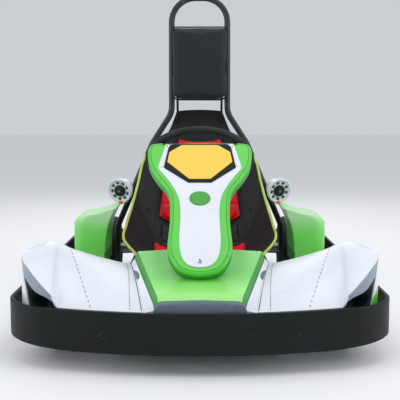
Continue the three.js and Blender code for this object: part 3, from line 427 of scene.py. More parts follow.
class Maker:
    # gathers the shapes of one piece in a mesh
    def __init__(self):
        self.mesh = bmesh.new()

    def ring(self, points):
        return [self.mesh.verts.new(p) for p in points]

    def face(self, corners, paint):
        made = self.mesh.faces.new(corners)
        made.material_index = paint
        made.smooth = True
        return made

    def bridge(self, first, second, paint=0):
        count = len(first)
        for i in range(count):
            j = (i + 1) % count
            self.face((first[i], first[j], second[j], second[i]), paint)

    def cap(self, ring, paint=0):
        self.face(ring, paint)

    def loft(self, rings, paint=0, closed=False):
        # a skin over the rings, capped at both ends or joined into a loop
        made = [self.ring(points) for points in rings]
        for first, second in zip(made, made[1:]):
            self.bridge(first, second, paint)
        if closed:
            self.bridge(made[-1], made[0], paint)
        else:
            self.cap(made[0][::-1], paint)
            self.cap(made[-1], paint)

    def tube(self, line, radius, sides=14, paint=0, closed=False):
        # a round tube along the line, of one radius or one for each point
        line = [Vector(p) for p in line]
        count = len(line)
        across = None
        rings = []
        for i, point in enumerate(line):
            before = line[i - 1] if closed or i else point
            after = line[(i + 1) % count] if closed or i < count - 1 else point
            ahead = (after - before).normalized()
            across = ahead.orthogonal() if across is None else across - ahead * across.dot(ahead)
            across.normalize()
            other = ahead.cross(across)
            width = radius[i] if isinstance(radius, (list, tuple)) else radius
            rings.append([point + across * math.cos(a) * width + other * math.sin(a) * width
                          for a in fullTurn(sides)])
        self.loft(rings, paint, closed=closed)

    def turned(self, profile, centre, axis, sides=48, paint=0, closed=False):
        # profile: (distance along the axis, radius); a radius of 0 ends in a point
        axis = Vector(axis).normalized()
        across = axis.orthogonal().normalized()
        other = axis.cross(across)
        rings = []
        for along, radius in profile:
            middle = Vector(centre) + axis * along
            if radius <= 1e-6:
                rings.append([self.mesh.verts.new(middle)])
            else:
                rings.append(self.ring([middle + (across * math.cos(a) + other * math.sin(a)) * radius
                                        for a in fullTurn(sides)]))
        pairs = list(zip(rings, rings[1:])) + ([(rings[-1], rings[0])] if closed else [])
        for first, second in pairs:
            for i in range(sides):
                j = (i + 1) % sides
                corners = [first[i % len(first)], first[j % len(first)],
                           second[j % len(second)], second[i % len(second)]]
                corners = [c for k, c in enumerate(corners) if c not in corners[:k]]
                if len(corners) > 2:
                    self.face(corners, paint)

    def slab(self, outline, place, steps, paint=0):
        # a plate: rings of (inset, height) between two flat faces
        self.loft([[place(p.x, p.y, height) for p in insetRing(outline, inset)]
                   for inset, height in steps], paint)

    def block(self, low, high, rounding, paint=0, turn=None, segments=2):
        # a box with its edges rounded, turned about its middle
        low, high = Vector(low), Vector(high)
        made = bmesh.ops.create_cube(self.mesh, size=1.0)["verts"]
        size = high - low
        middle = (low + high) / 2
        for vert in made:
            vert.co = Vector((vert.co.x * size.x, vert.co.y * size.y, vert.co.z * size.z))
        edges = list({edge for vert in made for edge in vert.link_edges})
        grown = bmesh.ops.bevel(self.mesh, geom=edges, offset=rounding, segments=segments,
                                affect="EDGES", profile=0.5)
        verts = {v for f in grown["faces"] for v in f.verts} | {v for v in made if v.is_valid}
        faces = {f for v in verts for f in v.link_faces}
        for vert in verts:
            vert.co = (turn @ vert.co if turn else vert.co) + middle
        for face in faces:
            face.material_index = paint
            face.smooth = True

    def sheet(self, point, columns, rows, thickness, paint=0, paintOf=None):
        # a closed shell under point(u, v), both from 0 to 1
        nudge = 1e-3
        top, under = [], []
        for j in range(rows + 1):
            for i in range(columns + 1):
                u, v = i / columns, j / rows
                across = point(min(u + nudge, 1), v) - point(max(u - nudge, 0), v)
                along = point(u, min(v + nudge, 1)) - point(u, max(v - nudge, 0))
                normal = across.cross(along).normalized()
                spot = point(u, v)
                top.append(self.mesh.verts.new(spot))
                under.append(self.mesh.verts.new(spot - normal * thickness))
        wide = columns + 1
        for j in range(rows):
            for i in range(columns):
                k = j * wide + i
                tone = paintOf((i + 0.5) / columns, (j + 0.5) / rows) if paintOf else paint
                self.face((top[k], top[k + 1], top[k + 1 + wide], top[k + wide]), tone)
                self.face((under[k], under[k + wide], under[k + 1 + wide], under[k + 1]), tone)
        rim = (list(range(wide)) + [j * wide + columns for j in range(1, rows + 1)]
               + [rows * wide + i for i in range(columns - 1, -1, -1)]
               + [j * wide for j in range(rows - 1, 0, -1)])
        for a, b in zip(rim, rim[1:] + rim[:1]):
            self.face((top[a], under[a], under[b], top[b]), paint)

    def bolt(self, place, facing, radius, paint=0, washer=1.7):
        # a button head on a washer, with a six-sided socket
        facing = Vector(facing).normalized()
        r = radius
        lift, tall, socket = r * 0.2, r * 0.6, r * 0.46
        if washer:
            self.turned([(0, 0), (0, r * washer), (r * 0.18, r * washer * 0.97), (r * 0.22, r * 0.9)],
                        place, facing, 28, paint)
        self.turned([(lift, r), (lift + tall * 0.5, r * 0.97), (lift + tall * 0.9, r * 0.7),
                     (lift + tall, socket)], place, facing, 28, paint)
        self.turned([(lift + tall, socket), (lift + r * 0.1, r * 0.42), (lift + r * 0.1, 0)],
                    place, facing, 6, paint)

    def shaped(self, name):
        # what was gathered, as one object
        bmesh.ops.recalc_face_normals(self.mesh, faces=self.mesh.faces)
        data = bpy.data.meshes.new(name)
        self.mesh.to_mesh(data)
        self.mesh.free()
        return linked(name, data)

    def piece(self, name, body, paints, replaces=(), slot=None, crisp=38, bevel=0.0):
        bmesh.ops.remove_doubles(self.mesh, verts=self.mesh.verts, dist=1e-6)
        return dress(self.shaped(name), body, paints, replaces, crisp, bevel)


def dress(made, body, paints, replaces=(), crisp=38, bevel=0.0):
    # finishes, eased edges, and what the frame should know of the piece
    data = made.data
    if data.materials:
        data.materials.clear()
    for paint in paints:
        data.materials.append(finishes[paint])
    data.polygons.foreach_set("use_smooth", [True] * len(data.polygons))
    data.set_sharp_from_angle(angle=math.radians(crisp))
    if bevel:
        rounding = made.modifiers.new("rounding", "BEVEL")
        rounding.width = bevel
        rounding.segments = 2
        rounding.limit_method = "ANGLE"
        rounding.angle_limit = math.radians(crisp)
        rounding.harden_normals = True
    evened = made.modifiers.new("evened", "WEIGHTED_NORMAL")
    evened.keep_sharp = True
    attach(made, body)
    if replaces:
        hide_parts(*replaces)
    return made


def refined(node, name, body, paint, bevel=0.0008):
    # the node's own shape with its edges eased and its curves shaded round
    copy = linked(name, frame["nodes"][node].data.copy())
    mesh = bmesh.new()
    mesh.from_mesh(copy.data)
    bmesh.ops.remove_doubles(mesh, verts=mesh.verts, dist=1e-5)
    bmesh.ops.dissolve_limit(mesh, angle_limit=math.radians(1), verts=mesh.verts, edges=mesh.edges)
    mesh.to_mesh(copy.data)
    mesh.free()
    return dress(copy, body, [paint], [node], bevel=bevel)


sides = {"left": 1, "right": -1}
gap = 0.0003   # between pieces that meet
halfWidth = cadBox[1].x
halfLength = cadBox[1].y
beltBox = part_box("front_bumper_belt")

belt = {
    "thick": 0.012, "round": 0.0045, "frontArch": 1.35, "rearArch": 2.0, "corner": 0.2, "sideEnd": 0.5,
    "lift": 0.009, "liftFrom": 0.36, "liftOver": 0.2,
    "boltX": 0.28, "boltY": 0.33, "boltRadius": 0.0062, "boltDown": 0.006,
}


def endLine(direction, arch, inset=0.0):
    # the outline round one end of the kart, from its left side to its right
    cornerSteps, archSteps = 18, 41
    cornerX = halfWidth - belt["corner"]
    archCentre = halfLength - arch
    reach = archCentre + math.sqrt((arch - belt["corner"]) ** 2 - cornerX ** 2)
    meet = math.atan2(cornerX, reach - archCentre)
    line = []
    for middle, out, radius, angles in (
            (cornerX, reach, belt["corner"], rowOf(math.pi / 2, meet, cornerSteps)),
            (0, archCentre, arch, rowOf(meet, -meet, archSteps)[1:]),
            (-cornerX, reach, belt["corner"], rowOf(-meet, -math.pi / 2, cornerSteps)[1:])):
        bend = radius - inset
        line += [Vector((middle + bend * math.sin(a), direction * (out + bend * math.cos(a))))
                 for a in angles]
    return line


def beltLift(x):
    # how far the belt's lower edge is raised away from the middle
    share = min(max((abs(x) - belt["liftFrom"]) / belt["liftOver"], 0), 1)
    return belt["lift"] * share * share * (3 - 2 * share)


def outwardAt(line, i):
    # the way the outline faces at its point i
    ahead = (line[min(i + 1, len(line) - 1)] - line[max(i - 1, 0)]).normalized()
    outward = Vector((-ahead.y, ahead.x))
    return outward * (1 if outward.dot(line[i]) > 0 else -1)


def beltPiece(name, line, node, bolts):
    made = Maker()
    rings = []
    for i, point in enumerate(line):
        outward = outwardAt(line, i)
        low = beltBox[0].z + beltLift(point.x)
        rings.append([Vector((*(point - outward * depth), height))
                      for depth, height in roundBar(belt["thick"], low, beltBox[1].z, belt["round"])])
    made.loft(rings)
    for place, facing in bolts:
        made.bolt(place, facing, belt["boltRadius"], 1, washer=2.1)
    made.piece(name, "chassis", ["belt", "moulding"], [node], "belt_black", crisp=50)


def roundBar(thick, low, high, rounding):
    # the belt's section: (depth behind its face, height)
    corners = [(thick - rounding, high - rounding, 0), (rounding, high - rounding, 90),
               (rounding, low + rounding, 180), (thick - rounding, low + rounding, 270)]
    return [(depth + rounding * math.cos(math.radians(start + turn)),
             height + rounding * math.sin(math.radians(start + turn)))
            for depth, height, start in corners for turn in (0, 30, 60, 90)]


beltMiddle = (beltBox[0].z + beltBox[1].z) / 2
boltHeight = beltMiddle - belt["boltDown"]
frontLine = endLine(-1, belt["frontArch"])
rearLine = endLine(1, belt["rearArch"])
sideEnd = belt["sideEnd"]


def lineFacing(line, x):
    # a bolt's place on the outline at x, and the way it faces there
    index = min(range(1, len(line) - 1), key=lambda i: abs(line[i].x - x))
    return (line[index].x, line[index].y, boltHeight), (*outwardAt(line, index), 0)


for name, line, direction in (("front", frontLine, -1), ("rear", rearLine, 1)):
    ends = [Vector((sign * halfWidth, direction * (sideEnd + gap))) for sign in sides.values()]
    whole = ends[:1] + line + ends[1:]
    beltPiece(f"{name}Belt", whole, f"{name}_bumper_belt",
              [lineFacing(line, x) for x in (belt["boltX"], -belt["boltX"])])
for side, sign in sides.items():
    beltPiece(f"{side}Belt", [Vector((sign * halfWidth, y)) for y in rowOf(-sideEnd, sideEnd, 9)],
              f"{side}_bumper_belt",
              [((sign * halfWidth, y, boltHeight), (sign, 0, 0)) for y in (-belt["boltY"], belt["boltY"])])
print("belt done")

# Bars and frame tubes, round where the frame's are facetted
tubes = {
    "bar": 0.011, "armReach": 0.038, "armBend": 0.022, "rail": 0.014, "railBend": 0.14, "cross": 0.012,
    "height": 0.08, "railFront": 0.245, "railRear": 0.29, "frontEnd": -0.745, "rearEnd": 0.755,
    "bendFront": -0.31, "bendRear": -0.16,
    "crosses": ((-0.728, 0.245), (-0.5, 0.245), (-0.06, 0.29), (0.22, 0.29), (0.64, 0.29)),
    "bracketX": 0.432, "bracketFront": 0.12, "bracketBend": 0.034, "hoopY": 0.34, "post": 0.01,
    "sideFront": -0.27, "sideRear": 0.25, "sideDrop": 0.09, "sideBend": 0.03,
}
barInset = belt["thick"] + gap + tubes["bar"]
level = tubes["height"]


def archReach(arch, x):
    # how far the bar behind the belt stands from the middle at x
    return halfLength - arch + math.sqrt((arch - barInset) ** 2 - x ** 2)


def endBar(name, direction, arch, railX, railEnd):
    made = Maker()
    line = [Vector((*p, beltMiddle)) for p in endLine(direction, arch, barInset)[9:-9]]
    made.tube(line, tubes["bar"], 18)
    for sign in sides.values():
        made.tube(bent([(sign * railX, direction * archReach(arch, railX), beltMiddle),
                        (sign * railX, railEnd + direction * tubes["armReach"], level),
                        (sign * railX, railEnd + direction * gap, level)], tubes["armBend"]),
                  tubes["bar"], 18)
    made.piece(f"{name}Bar", "chassis", ["frame"], [f"{name}_bumper_bar"], "frame_paint")


endBar("front", -1, belt["frontArch"], tubes["railFront"], tubes["frontEnd"])
endBar("rear", 1, belt["rearArch"], tubes["railRear"], tubes["rearEnd"])
for side, sign in sides.items():
    face = halfWidth - barInset
    inner = tubes["bracketX"] + tubes["cross"] + gap
    drop, bend = tubes["sideDrop"], tubes["sideBend"]
    railX = tubes["railFront"] + (tubes["railRear"] - tubes["railFront"]) * (
        (tubes["sideFront"] - tubes["bendFront"]) / (tubes["bendRear"] - tubes["bendFront"]))
    made = Maker()
    made.tube(bent([(sign * x, y, z) for x, y, z in (
        (inner, tubes["sideRear"], level), (face - drop, tubes["sideRear"], level),
        (face, tubes["sideRear"] - bend, beltMiddle), (face, tubes["sideFront"] + bend, beltMiddle),
        (face - drop, tubes["sideFront"], level),
        (railX + tubes["rail"] + 0.004, tubes["sideFront"], level))], bend), tubes["bar"], 18)
    made.piece(f"{side}SideBar", "chassis", ["frame"], [f"{side}_side_bar"], "frame_paint")

made = Maker()
for sign in sides.values():
    made.tube(bent([(sign * x, y, level) for x, y in (
        (tubes["railFront"], tubes["frontEnd"]), (tubes["railFront"], tubes["bendFront"]),
        (tubes["railRear"], tubes["bendRear"]), (tubes["railRear"], tubes["rearEnd"]))],
        tubes["railBend"]), tubes["rail"], 20)
for y, reach in tubes["crosses"]:
    made.tube([(-reach, y, level), (reach, y, level)], tubes["cross"], 18)
    for sign in sides.values():   # weld beads where a cross tube meets a rail
        x = sign * (reach - tubes["rail"] * 0.9)
        made.tube([(x, y + 0.0135 * math.cos(a), level + 0.0125 * math.sin(a))
                   for a in fullTurn(16)], 0.0024, 6, closed=True)
made.piece("railFrame", "chassis", ["frame"], ["main_frame"], "frame_paint")

for side, sign in sides.items():
    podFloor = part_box(f"{side}_side_pod")[0].z
    made = Maker()
    bend = tubes["bracketBend"]
    inner = tubes["railRear"] + tubes["rail"] * 0.6
    made.tube(bent([(sign * x, y, level) for x, y in (
        (inner, tubes["bracketFront"]), (tubes["bracketX"], tubes["bracketFront"]),
        (tubes["bracketX"], tubes["hoopY"]), (inner, tubes["hoopY"]))], bend), tubes["cross"], 18)
    for y in (tubes["bracketFront"] + bend, tubes["hoopY"] - bend):
        made.tube([(sign * tubes["bracketX"], y, level), (sign * tubes["bracketX"], y, podFloor - gap)],
                  tubes["post"], 16)
    foot = (sign * 0.35, tubes["hoopY"], level)   # the foot that the roll hoop stands on
    made.turned([(0, 0), (0, 0.016), (0.002, 0.018), (0.018, 0.018), (0.02, 0.0165), (0.02, 0)],
                foot, (0, 0, 1), 32)
    made.piece(f"{side}PodBracket", "chassis", ["frame"], [f"{side}_pod_bracket"], "frame_paint")
    refined(f"{side}_kingpin_yoke", f"{side}Yoke", "chassis", "frame", bevel=0.001)
    refined(f"{side}_axle_hanger", f"{side}Hanger", "chassis", "frame", bevel=0.0012)
    refined(f"{side}_knuckle", f"{side}Knuckle", f"{side}_steer", "steel", bevel=0.001)

# The tray stays as it is; a row of rivets holds it to the rails
frame["nodes"]["floor_tray"].data.materials.clear()
frame["nodes"]["floor_tray"].data.materials.append(finishes["tray"])
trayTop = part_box("floor_tray")[1].z
rivet = [(0, 0.0045), (0.0012, 0.0038), (0.0018, 0)]
rivetRows = [(0.226, rowOf(-0.70, -0.36, 5)), (0.27, rowOf(-0.12, 0.20, 4))]
made = Maker()
for sign in sides.values():
    for x, row in rivetRows:
        for y in row:
            made.turned(rivet, (sign * x, y, trayTop), (0, 0, 1), 14)
made.piece("trayRivets", "chassis", ["steel"], slot="tray_metal")
refined("column_support", "columnSupport", "chassis", "frame", bevel=0.001)
refined("column_foot_bearing", "footBearing", "chassis", "frame", bevel=0.001)
refined("steering_column", "steeringShaft", "steering", "steel", bevel=0.0008)
print("frame done")

# Wheels
wheel = {"seat": 0.064, "flange": 0.071, "lip": 0.004, "wall": 0.005, "bolts": 5, "boltRing": 0.034,
         "boltRadius": 0.0045, "frontBore": 0.009, "rearBore": 0.0203}


def rimPiece(name, body, node, bore, outwardX):
    low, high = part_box(node)
    half = (high.x - low.x) / 2
    centre = (low + high) / 2
    seat, flange, lip = wheel["seat"], wheel["flange"], wheel["lip"]
    barrel = seat - wheel["wall"]
    made = Maker()
    made.turned([
        (-half, flange), (-half + lip, flange), (-half + lip + 0.001, seat), (-half + 0.018, seat),
        (-half + 0.024, seat - 0.006), (half - 0.024, seat - 0.006), (half - 0.018, seat),
        (half - lip - 0.001, seat), (half - lip, flange), (half, flange), (half, flange - 0.004),
        (half - 0.006, barrel), (half - 0.02, barrel - 0.005),
        (0.012, barrel - 0.006), (0.006, barrel - 0.014),
        (0.006, bore + 0.018), (0.010, bore + 0.014), (0.026, bore + 0.013), (0.026, bore),
        (-0.004, bore), (-0.004, barrel - 0.012), (-0.010, barrel - 0.005), (-half + 0.02, barrel - 0.005),
        (-half + 0.006, barrel), (-half, flange - 0.004)], centre, (1, 0, 0), 72, closed=True)
    for a in fullTurn(wheel["bolts"]):
        offset = Vector((0, math.cos(a), math.sin(a))) * max(wheel["boltRing"], bore + 0.009 + 0.012)
        made.bolt(centre + offset + Vector((0.006, 0, 0)), (1, 0, 0), wheel["boltRadius"], 1)
        made.bolt(centre + offset + Vector((-0.004, 0, 0)), (-1, 0, 0), wheel["boltRadius"], 1)
    stem = centre + Vector((outwardX * (half - 0.012), barrel - 0.006, 0))
    made.tube([stem, stem + Vector((outwardX * 0.012, -0.006, 0)),
               stem + Vector((outwardX * 0.02, -0.008, 0))], [0.0032, 0.0028, 0.0022], 10, 1)
    made.piece(name, body, ["aluminium", "steel"], [node], "rim_aluminium", crisp=34, bevel=0.0006)


def tyrePiece(name, body, node):
    low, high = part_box(node)
    centre = (low + high) / 2
    half = (high.x - low.x) / 2
    radius = (high.z - low.z) / 2
    bead = half - 0.0103
    seatRadius = wheel["seat"] + gap
    wall = wheel["flange"] + 0.001
    belly = (wall + radius) / 2
    shoulder = [(bead, wall, 0), (half - 0.004, wall + 0.004, 0), (half - 0.0008, belly - 0.006, 0),
                (half, belly + 0.004, 0), (half - 0.0035, radius - 0.015, 0),
                (half - 0.010, radius - 0.006, 0), (half - 0.021, radius - 0.0012, 0),
                (half * 0.5, radius, 0)]
    outer = [(p.x, p.y) for p in splineLine(shoulder, 28)]
    outer = [(x, r + (0.0007 if 4 < i < 9 and i % 2 else 0)) for i, (x, r) in enumerate(outer)]
    tread = []
    for x in (0.36, 0.12):   # two narrow wear grooves each side of the middle
        tread += [(half * x + 0.0018, radius), (half * x + 0.001, radius - 0.0022),
                  (half * x - 0.001, radius - 0.0022), (half * x - 0.0018, radius)]
    right = [(bead, seatRadius)] + outer + tread
    profile = right + [(-x, r) for x, r in reversed(right)]
    made = Maker()
    made.turned(profile, centre, (1, 0, 0), 96, closed=True)
    made.piece(name, body, ["tyre"], [node], "tyre_rubber", crisp=48)


for side, sign in sides.items():
    rimPiece(f"{side}FrontRim", f"{side}_front_wheel", f"{side}_front_rim", wheel["frontBore"], sign)
    tyrePiece(f"{side}FrontTyre", f"{side}_front_wheel", f"{side}_front_tyre")
    rimPiece(f"{side}RearRim", "rear_axle_set", f"{side}_rear_rim", wheel["rearBore"], sign)
    tyrePiece(f"{side}RearTyre", "rear_axle_set", f"{side}_rear_tyre")
    low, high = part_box(f"{side}_tie_rod")
    y, z = (low.y + high.y) / 2, (low.z + high.z) / 2
    ball = (high.z - low.z) / 2
    made = Maker()
    inner, outer = sign * 0.017, sign * 0.33
    made.turned([(0, 0.0052), (0.3, 0.0052)], ((inner + outer) / 2 - 0.15, y, z), (1, 0, 0), 20)
    for x, way in ((inner, sign), (outer, -sign)):
        made.turned([(-ball, 0)] + [(ball * math.sin(a), ball * math.cos(a)) for a in rowOf(-1.2, 1.2, 9)]
                    + [(ball, 0)], (x, y, z), (0, 0, 1), 24)
        made.tube([(x + way * along, y, z) for along in (0.009, 0.03, 0.032, 0.04)],
                  [0.0072, 0.0072, 0.009, 0.009], 6)
    made.piece(f"{side}TieRod", f"{side}_rod", ["steel"], [f"{side}_tie_rod"], "steel_parts", bevel=0.0004)
print("wheels done")

# Rear axle, brake and motor
low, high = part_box("rear_axle")
axleMiddle = (low + high) / 2
axleHalf, axleRadius = (high.x - low.x) / 2, (high.z - low.z) / 2
axle = {"bore": axleRadius - 0.006, "collar": axleRadius + 0.006, "collarHalf": 0.007,
        "collars": (-0.262, 0.262, 0.09)}
made = Maker()
made.turned([(-axleHalf, axle["bore"]), (-axleHalf, axleRadius - 0.001), (-axleHalf + 0.001, axleRadius),
             (axleHalf - 0.001, axleRadius), (axleHalf, axleRadius - 0.001), (axleHalf, axle["bore"]),
             (axleHalf - 0.06, axle["bore"]), (-axleHalf + 0.06, axle["bore"])],
            axleMiddle, (1, 0, 0), 48, closed=True)
for x in axle["collars"]:
    half = axle["collarHalf"]
    made.turned([(-half, axleRadius), (-half, axle["collar"]), (half, axle["collar"]), (half, axleRadius)],
                axleMiddle + Vector((x, 0, 0)), (1, 0, 0), 40)
    made.bolt(axleMiddle + Vector((x, 0, axle["collar"])), (0, 0, 1), 0.003, washer=0)
made.piece("rearAxle", "rear_axle_set", ["steel"], ["rear_axle"], "steel_parts", bevel=0.0004)

low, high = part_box("brake_disc")
discMiddle = (low + high) / 2
disc = {"radius": (high.z - low.z) / 2, "half": 0.003, "inner": 0.052, "ease": 0.0006, "slots": 24}
half, radius, ease = disc["half"], disc["radius"], disc["ease"]
made = Maker()
made.turned([(-half, disc["inner"]), (-half, radius - ease), (-half + ease, radius),
             (half - ease, radius), (half, radius - ease), (half, disc["inner"])],
            discMiddle, (1, 0, 0), 96, closed=True)
made.turned([(-0.002, 0.036), (-0.002, 0.053), (0.002, 0.053), (0.002, 0.036)], discMiddle, (1, 0, 0), 48,
            paint=1, closed=True)
made.turned([(-0.014, axleRadius + gap), (-0.014, 0.033), (-0.003, 0.037), (0.003, 0.037),
             (0.014, 0.033), (0.014, axleRadius + gap)], discMiddle, (1, 0, 0), 48, paint=1, closed=True)
for k in range(disc["slots"]):
    a = 2 * math.pi * k / disc["slots"]
    radius = 0.063 + 0.009 * (k % 3)
    spot = discMiddle + Vector((0, math.cos(a), math.sin(a))) * radius
    for way in (-1, 1):
        made.turned([(0, 0.0036), (0.0001, 0.0032), (0.0001, 0)], spot + Vector((way * disc["half"], 0, 0)),
                    (way, 0, 0), 14, paint=2)
made.piece("brakeDisc", "rear_axle_set", ["steel", "aluminium", "moulding"], ["brake_disc"], "steel_parts")
refined("brake_caliper", "brakeCaliper", "chassis", "caliper", bevel=0.0035)

low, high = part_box("motor")
motor = {"ribs": 13, "ribHalf": 0.0028, "round": 0.022, "endPlate": 0.016}
inset = Vector((motor["endPlate"], 0.006, 0.006))
made = Maker()
made.block(low + inset, high - inset, motor["round"], 0, segments=4)
for x in rowOf(low.x + 0.03, high.x - 0.03, motor["ribs"]):
    made.block((x - motor["ribHalf"], low.y + 0.0005, low.z + 0.014),
               (x + motor["ribHalf"], high.y - 0.0005, high.z - 0.001), 0.0012, 0)
for x in (low.x, high.x - motor["endPlate"]):
    made.block((x, low.y + 0.002, low.z), (x + motor["endPlate"], high.y - 0.002, high.z - 0.004), 0.006, 0,
               segments=3)
    for y in (low.y + 0.018, high.y - 0.018):
        for z in (low.z + 0.018, high.z - 0.022):
            way = -1 if x == low.x else 1
            made.bolt((x if way < 0 else x + motor["endPlate"], y, z), (way, 0, 0), 0.0045, 1)
made.block((low.x + 0.05, low.y + 0.03, high.z - 0.012),
           (high.x - 0.05, high.y - 0.03, high.z + 0.004), 0.006, 2)
made.piece("motorHousing", "chassis", ["motor", "steel", "moulding"], ["motor"], "motor_grey", crisp=45)

low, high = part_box("battery_box")
made = Maker()
made.block(low, high - Vector((0, 0, 0.012)), 0.006, 0, segments=3)
made.block((low.x - 0.003, low.y - 0.003, high.z - 0.014), (high.x + 0.003, high.y + 0.003, high.z),
           0.004, 0, segments=3)
for x in rowOf(low.x + 0.05, high.x - 0.05, 5):   # ribs down the front and the back of the case
    for front, back in ((low.y - 0.003, low.y + 0.004), (high.y - 0.004, high.y + 0.003)):
        made.block((x - 0.006, front, low.z + 0.012), (x + 0.006, back, high.z - 0.022), 0.002)
made.piece("batteryCase", "chassis", ["moulding"], ["battery_box"], "motor_grey", crisp=45)

for side, node in (("brake", "brake_pedal"), ("accelerator", "accelerator_pedal")):
    low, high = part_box(node)
    refined(node, f"{side}Pedal", "chassis", "frame", bevel=0.0012)
    made = Maker()
    lean = Matrix.Rotation(math.radians(14), 3, "X")
    for k in range(5):   # rubber treads across the pedal plate
        z = 0.018 + 0.019 * k
        place = Vector(((low.x + high.x) / 2, -0.618, trayTop + 0.04)) + lean @ Vector((0, 0.0045, z))
        made.block(place - Vector((0.03, 0.002, 0.003)), place + Vector((0.03, 0.002, 0.003)), 0.0015,
                   turn=lean)
    made.piece(f"{side}Treads", "chassis", ["grip"], slot="grip_rubber")
print("drive done")

# Steering wheel, built about its own axis and stood on the column
steering = next(joint for joint in frame["joints"] if joint["name"] == "steering_turn")
columnAxis = Vector(steering["axis"])
columnFoot = Vector(steering["pos_m"])
columnBack = Vector((0, columnAxis.z, -columnAxis.y))
steer = {"at": 0.525, "radius": 0.184, "grip": 0.014, "hub": 0.038, "spokeWidth": 0.028,
         "spokes": (90, 210, 330), "screws": (30, 150, 270), "screwRing": 0.026, "seam": 0.0012}


def onColumn(x, y, above):
    return columnFoot + columnAxis * (steer["at"] + above) + Vector((x, 0, 0)) + columnBack * y


def roundColumn(radius, a, above=0.0):
    return onColumn(radius * math.cos(a), radius * math.sin(a), above)


made = Maker()
turns = fullTurn(96)
seam = steer["seam"]
made.tube([roundColumn(steer["radius"], a) for a in turns],
          [steer["grip"] - seam + seam * math.cos(a) ** 8 for a in turns], 22, closed=True)
made.tube([roundColumn(steer["radius"] - steer["grip"] + seam, a) for a in turns],
          0.0011, 6, 2, closed=True)
for degrees in steer["spokes"]:
    a = math.radians(degrees)
    along = Vector((math.cos(a), math.sin(a)))
    across = Vector((-along.y, along.x))
    half = steer["spokeWidth"] / 2
    outline = roundedRing([along * 0.02 + across * half, along * 0.02 - across * half,
                           along * 0.178 - across * half * 0.8,
                           along * 0.178 + across * half * 0.8], 0.003)[::-1]
    made.slab(outline, onColumn, [(0.001, -0.003), (0, -0.002), (0, 0.002), (0.001, 0.003)], 1)
    for reach in (0.07, 0.103, 0.136):
        spot = along * reach
        made.turned([(0.003, 0.0075), (0.0033, 0.007), (0.0032, 0)], onColumn(spot.x, spot.y, 0),
                    columnAxis, 24, 3)
made.turned([(-0.011, 0), (-0.011, 0.034), (-0.009, steer["hub"]), (0.009, steer["hub"]),
             (0.012, 0.035), (0.012, 0)], onColumn(0, 0, 0), columnAxis, 48, 1)
for degrees in steer["screws"]:
    place = roundColumn(steer["screwRing"], math.radians(degrees), 0.012)
    made.bolt(place, columnAxis, 0.0035, 4, washer=0)
made.turned([(0.012, 0.018), (0.0145, 0.0165), (0.0155, 0)], onColumn(0, 0, 0), columnAxis, 32, 0)
made.piece("steeringWheel", "steering", ["grip", "moulding", "border", "border", "steel"], ["steering_wheel"],
           "grip_rubber")

# Column fairing in its own plane: across, up the slope, above the face
tilt = math.radians(46)
slopeUp = Vector((0, math.cos(tilt), math.sin(tilt)))
slopeOut = Vector((0, -math.sin(tilt), math.cos(tilt)))
fairing = {
    "foot": (0, -0.712, 0.262), "depth": 0.038, "wall": 0.005, "rim": 0.010,
    "outline": ((0, 0), (0.058, 0.016), (0.088, 0.058), (0.098, 0.1), (0.096, 0.15), (0.093, 0.2),
                (0.095, 0.28), (0.106, 0.322), (0.133, 0.362), (0.16, 0.412), (0.171, 0.46),
                (0.170, 0.5), (0.15, 0.519), (0.07, 0.523)),
    "face": ((0, 0.024), (0.036, 0.034), (0.056, 0.066), (0.063, 0.12), (0.061, 0.19), (0.062, 0.25),
             (0.072, 0.3), (0.1, 0.355), (0.134, 0.405), (0.134, 0.42), (0.113, 0.508), (0.108, 0.512)),
    "number": ((0.037, 0.345), (0.117, 0.408), (0.103, 0.497), (0.092, 0.508)),
    "yellow": ((0.034, 0.358), (0.106, 0.43), (0.1, 0.472), (0.06, 0.503)),
    "badgeUp": 0.281, "badge": (0.033, 0.028), "screwUp": 0.046, "clipUp": 0.5, "clipX": 0.108,
}


def onFairing(x, y, above):
    return Vector(fairing["foot"]) + Vector((x, 0, 0)) + slopeUp * y + slopeOut * above


def bothSides(half):
    # a right half and its mirror image, as one outline
    right = [Vector(p) for p in half]
    return right + [Vector((-p.x, p.y)) for p in reversed(right) if p.x > 0]


outline = closedSpline(bothSides(fairing["outline"]), 5)
made = Maker()
depth, wall, rim = fairing["depth"], fairing["wall"], fairing["rim"]
edge = [(rim * (1 - math.cos(a)), -rim * (1 - math.sin(a))) for a in rowOf(0, math.pi / 2, 6)]
groove = [(0, -0.0145), (0.0012, -0.0142), (0.0012, -0.0128), (0, -0.0125)]
made.slab(outline, onFairing, [(wall, -wall), (wall, -depth + 0.001), (wall - 0.001, -depth),
                               (0.001, -depth), (0, -depth + 0.001)] + groove + edge)
for face in made.mesh.faces:   # painted shade: darker lime below the groove, on the side wall
    if (face.calc_center_median() - Vector(fairing["foot"])).dot(slopeOut) < -0.0146:
        face.material_index = 1
# thin black lines round the outline: the one in the groove is painted shade in it; the other runs just inside
# the rim's top edge
for height, inset in ((-0.0135, 0.0006), (-0.0002, 0.0105)):
    made.tube([onFairing(p.x, p.y, height) for p in insetRing(outline, inset)], 0.0007, 6, 2, closed=True)
made.piece("columnFairing", "chassis", ["lime", "limeDark", "border"], ["column_fairing"],
           "lime_plastic", crisp=55)

made = Maker()
face = closedSpline(bothSides(fairing["face"]), 5)
made.slab(face, onFairing, [(0, gap), (0, 0.0016), (0.0006, 0.0026), (0.0018, 0.0033)])
made.piece("fairingFace", "chassis", ["white"], ["fairing_face"], "white_plastic", crisp=60)

made = Maker()
number, yellow = (roundedRing(bothSides(fairing[name]), 0.004) for name in ("number", "yellow"))
made.slab(number, onFairing, [(0, 0.0036), (0, 0.0056), (0.0012, 0.0066)], 1)
made.slab(yellow, onFairing, [(0, 0.005), (0, 0.0068), (0.0008, 0.0073)])
made.piece("numberPlate", "chassis", ["yellow", "border"], ["number_panel"], "yellow_plastic", crisp=60)

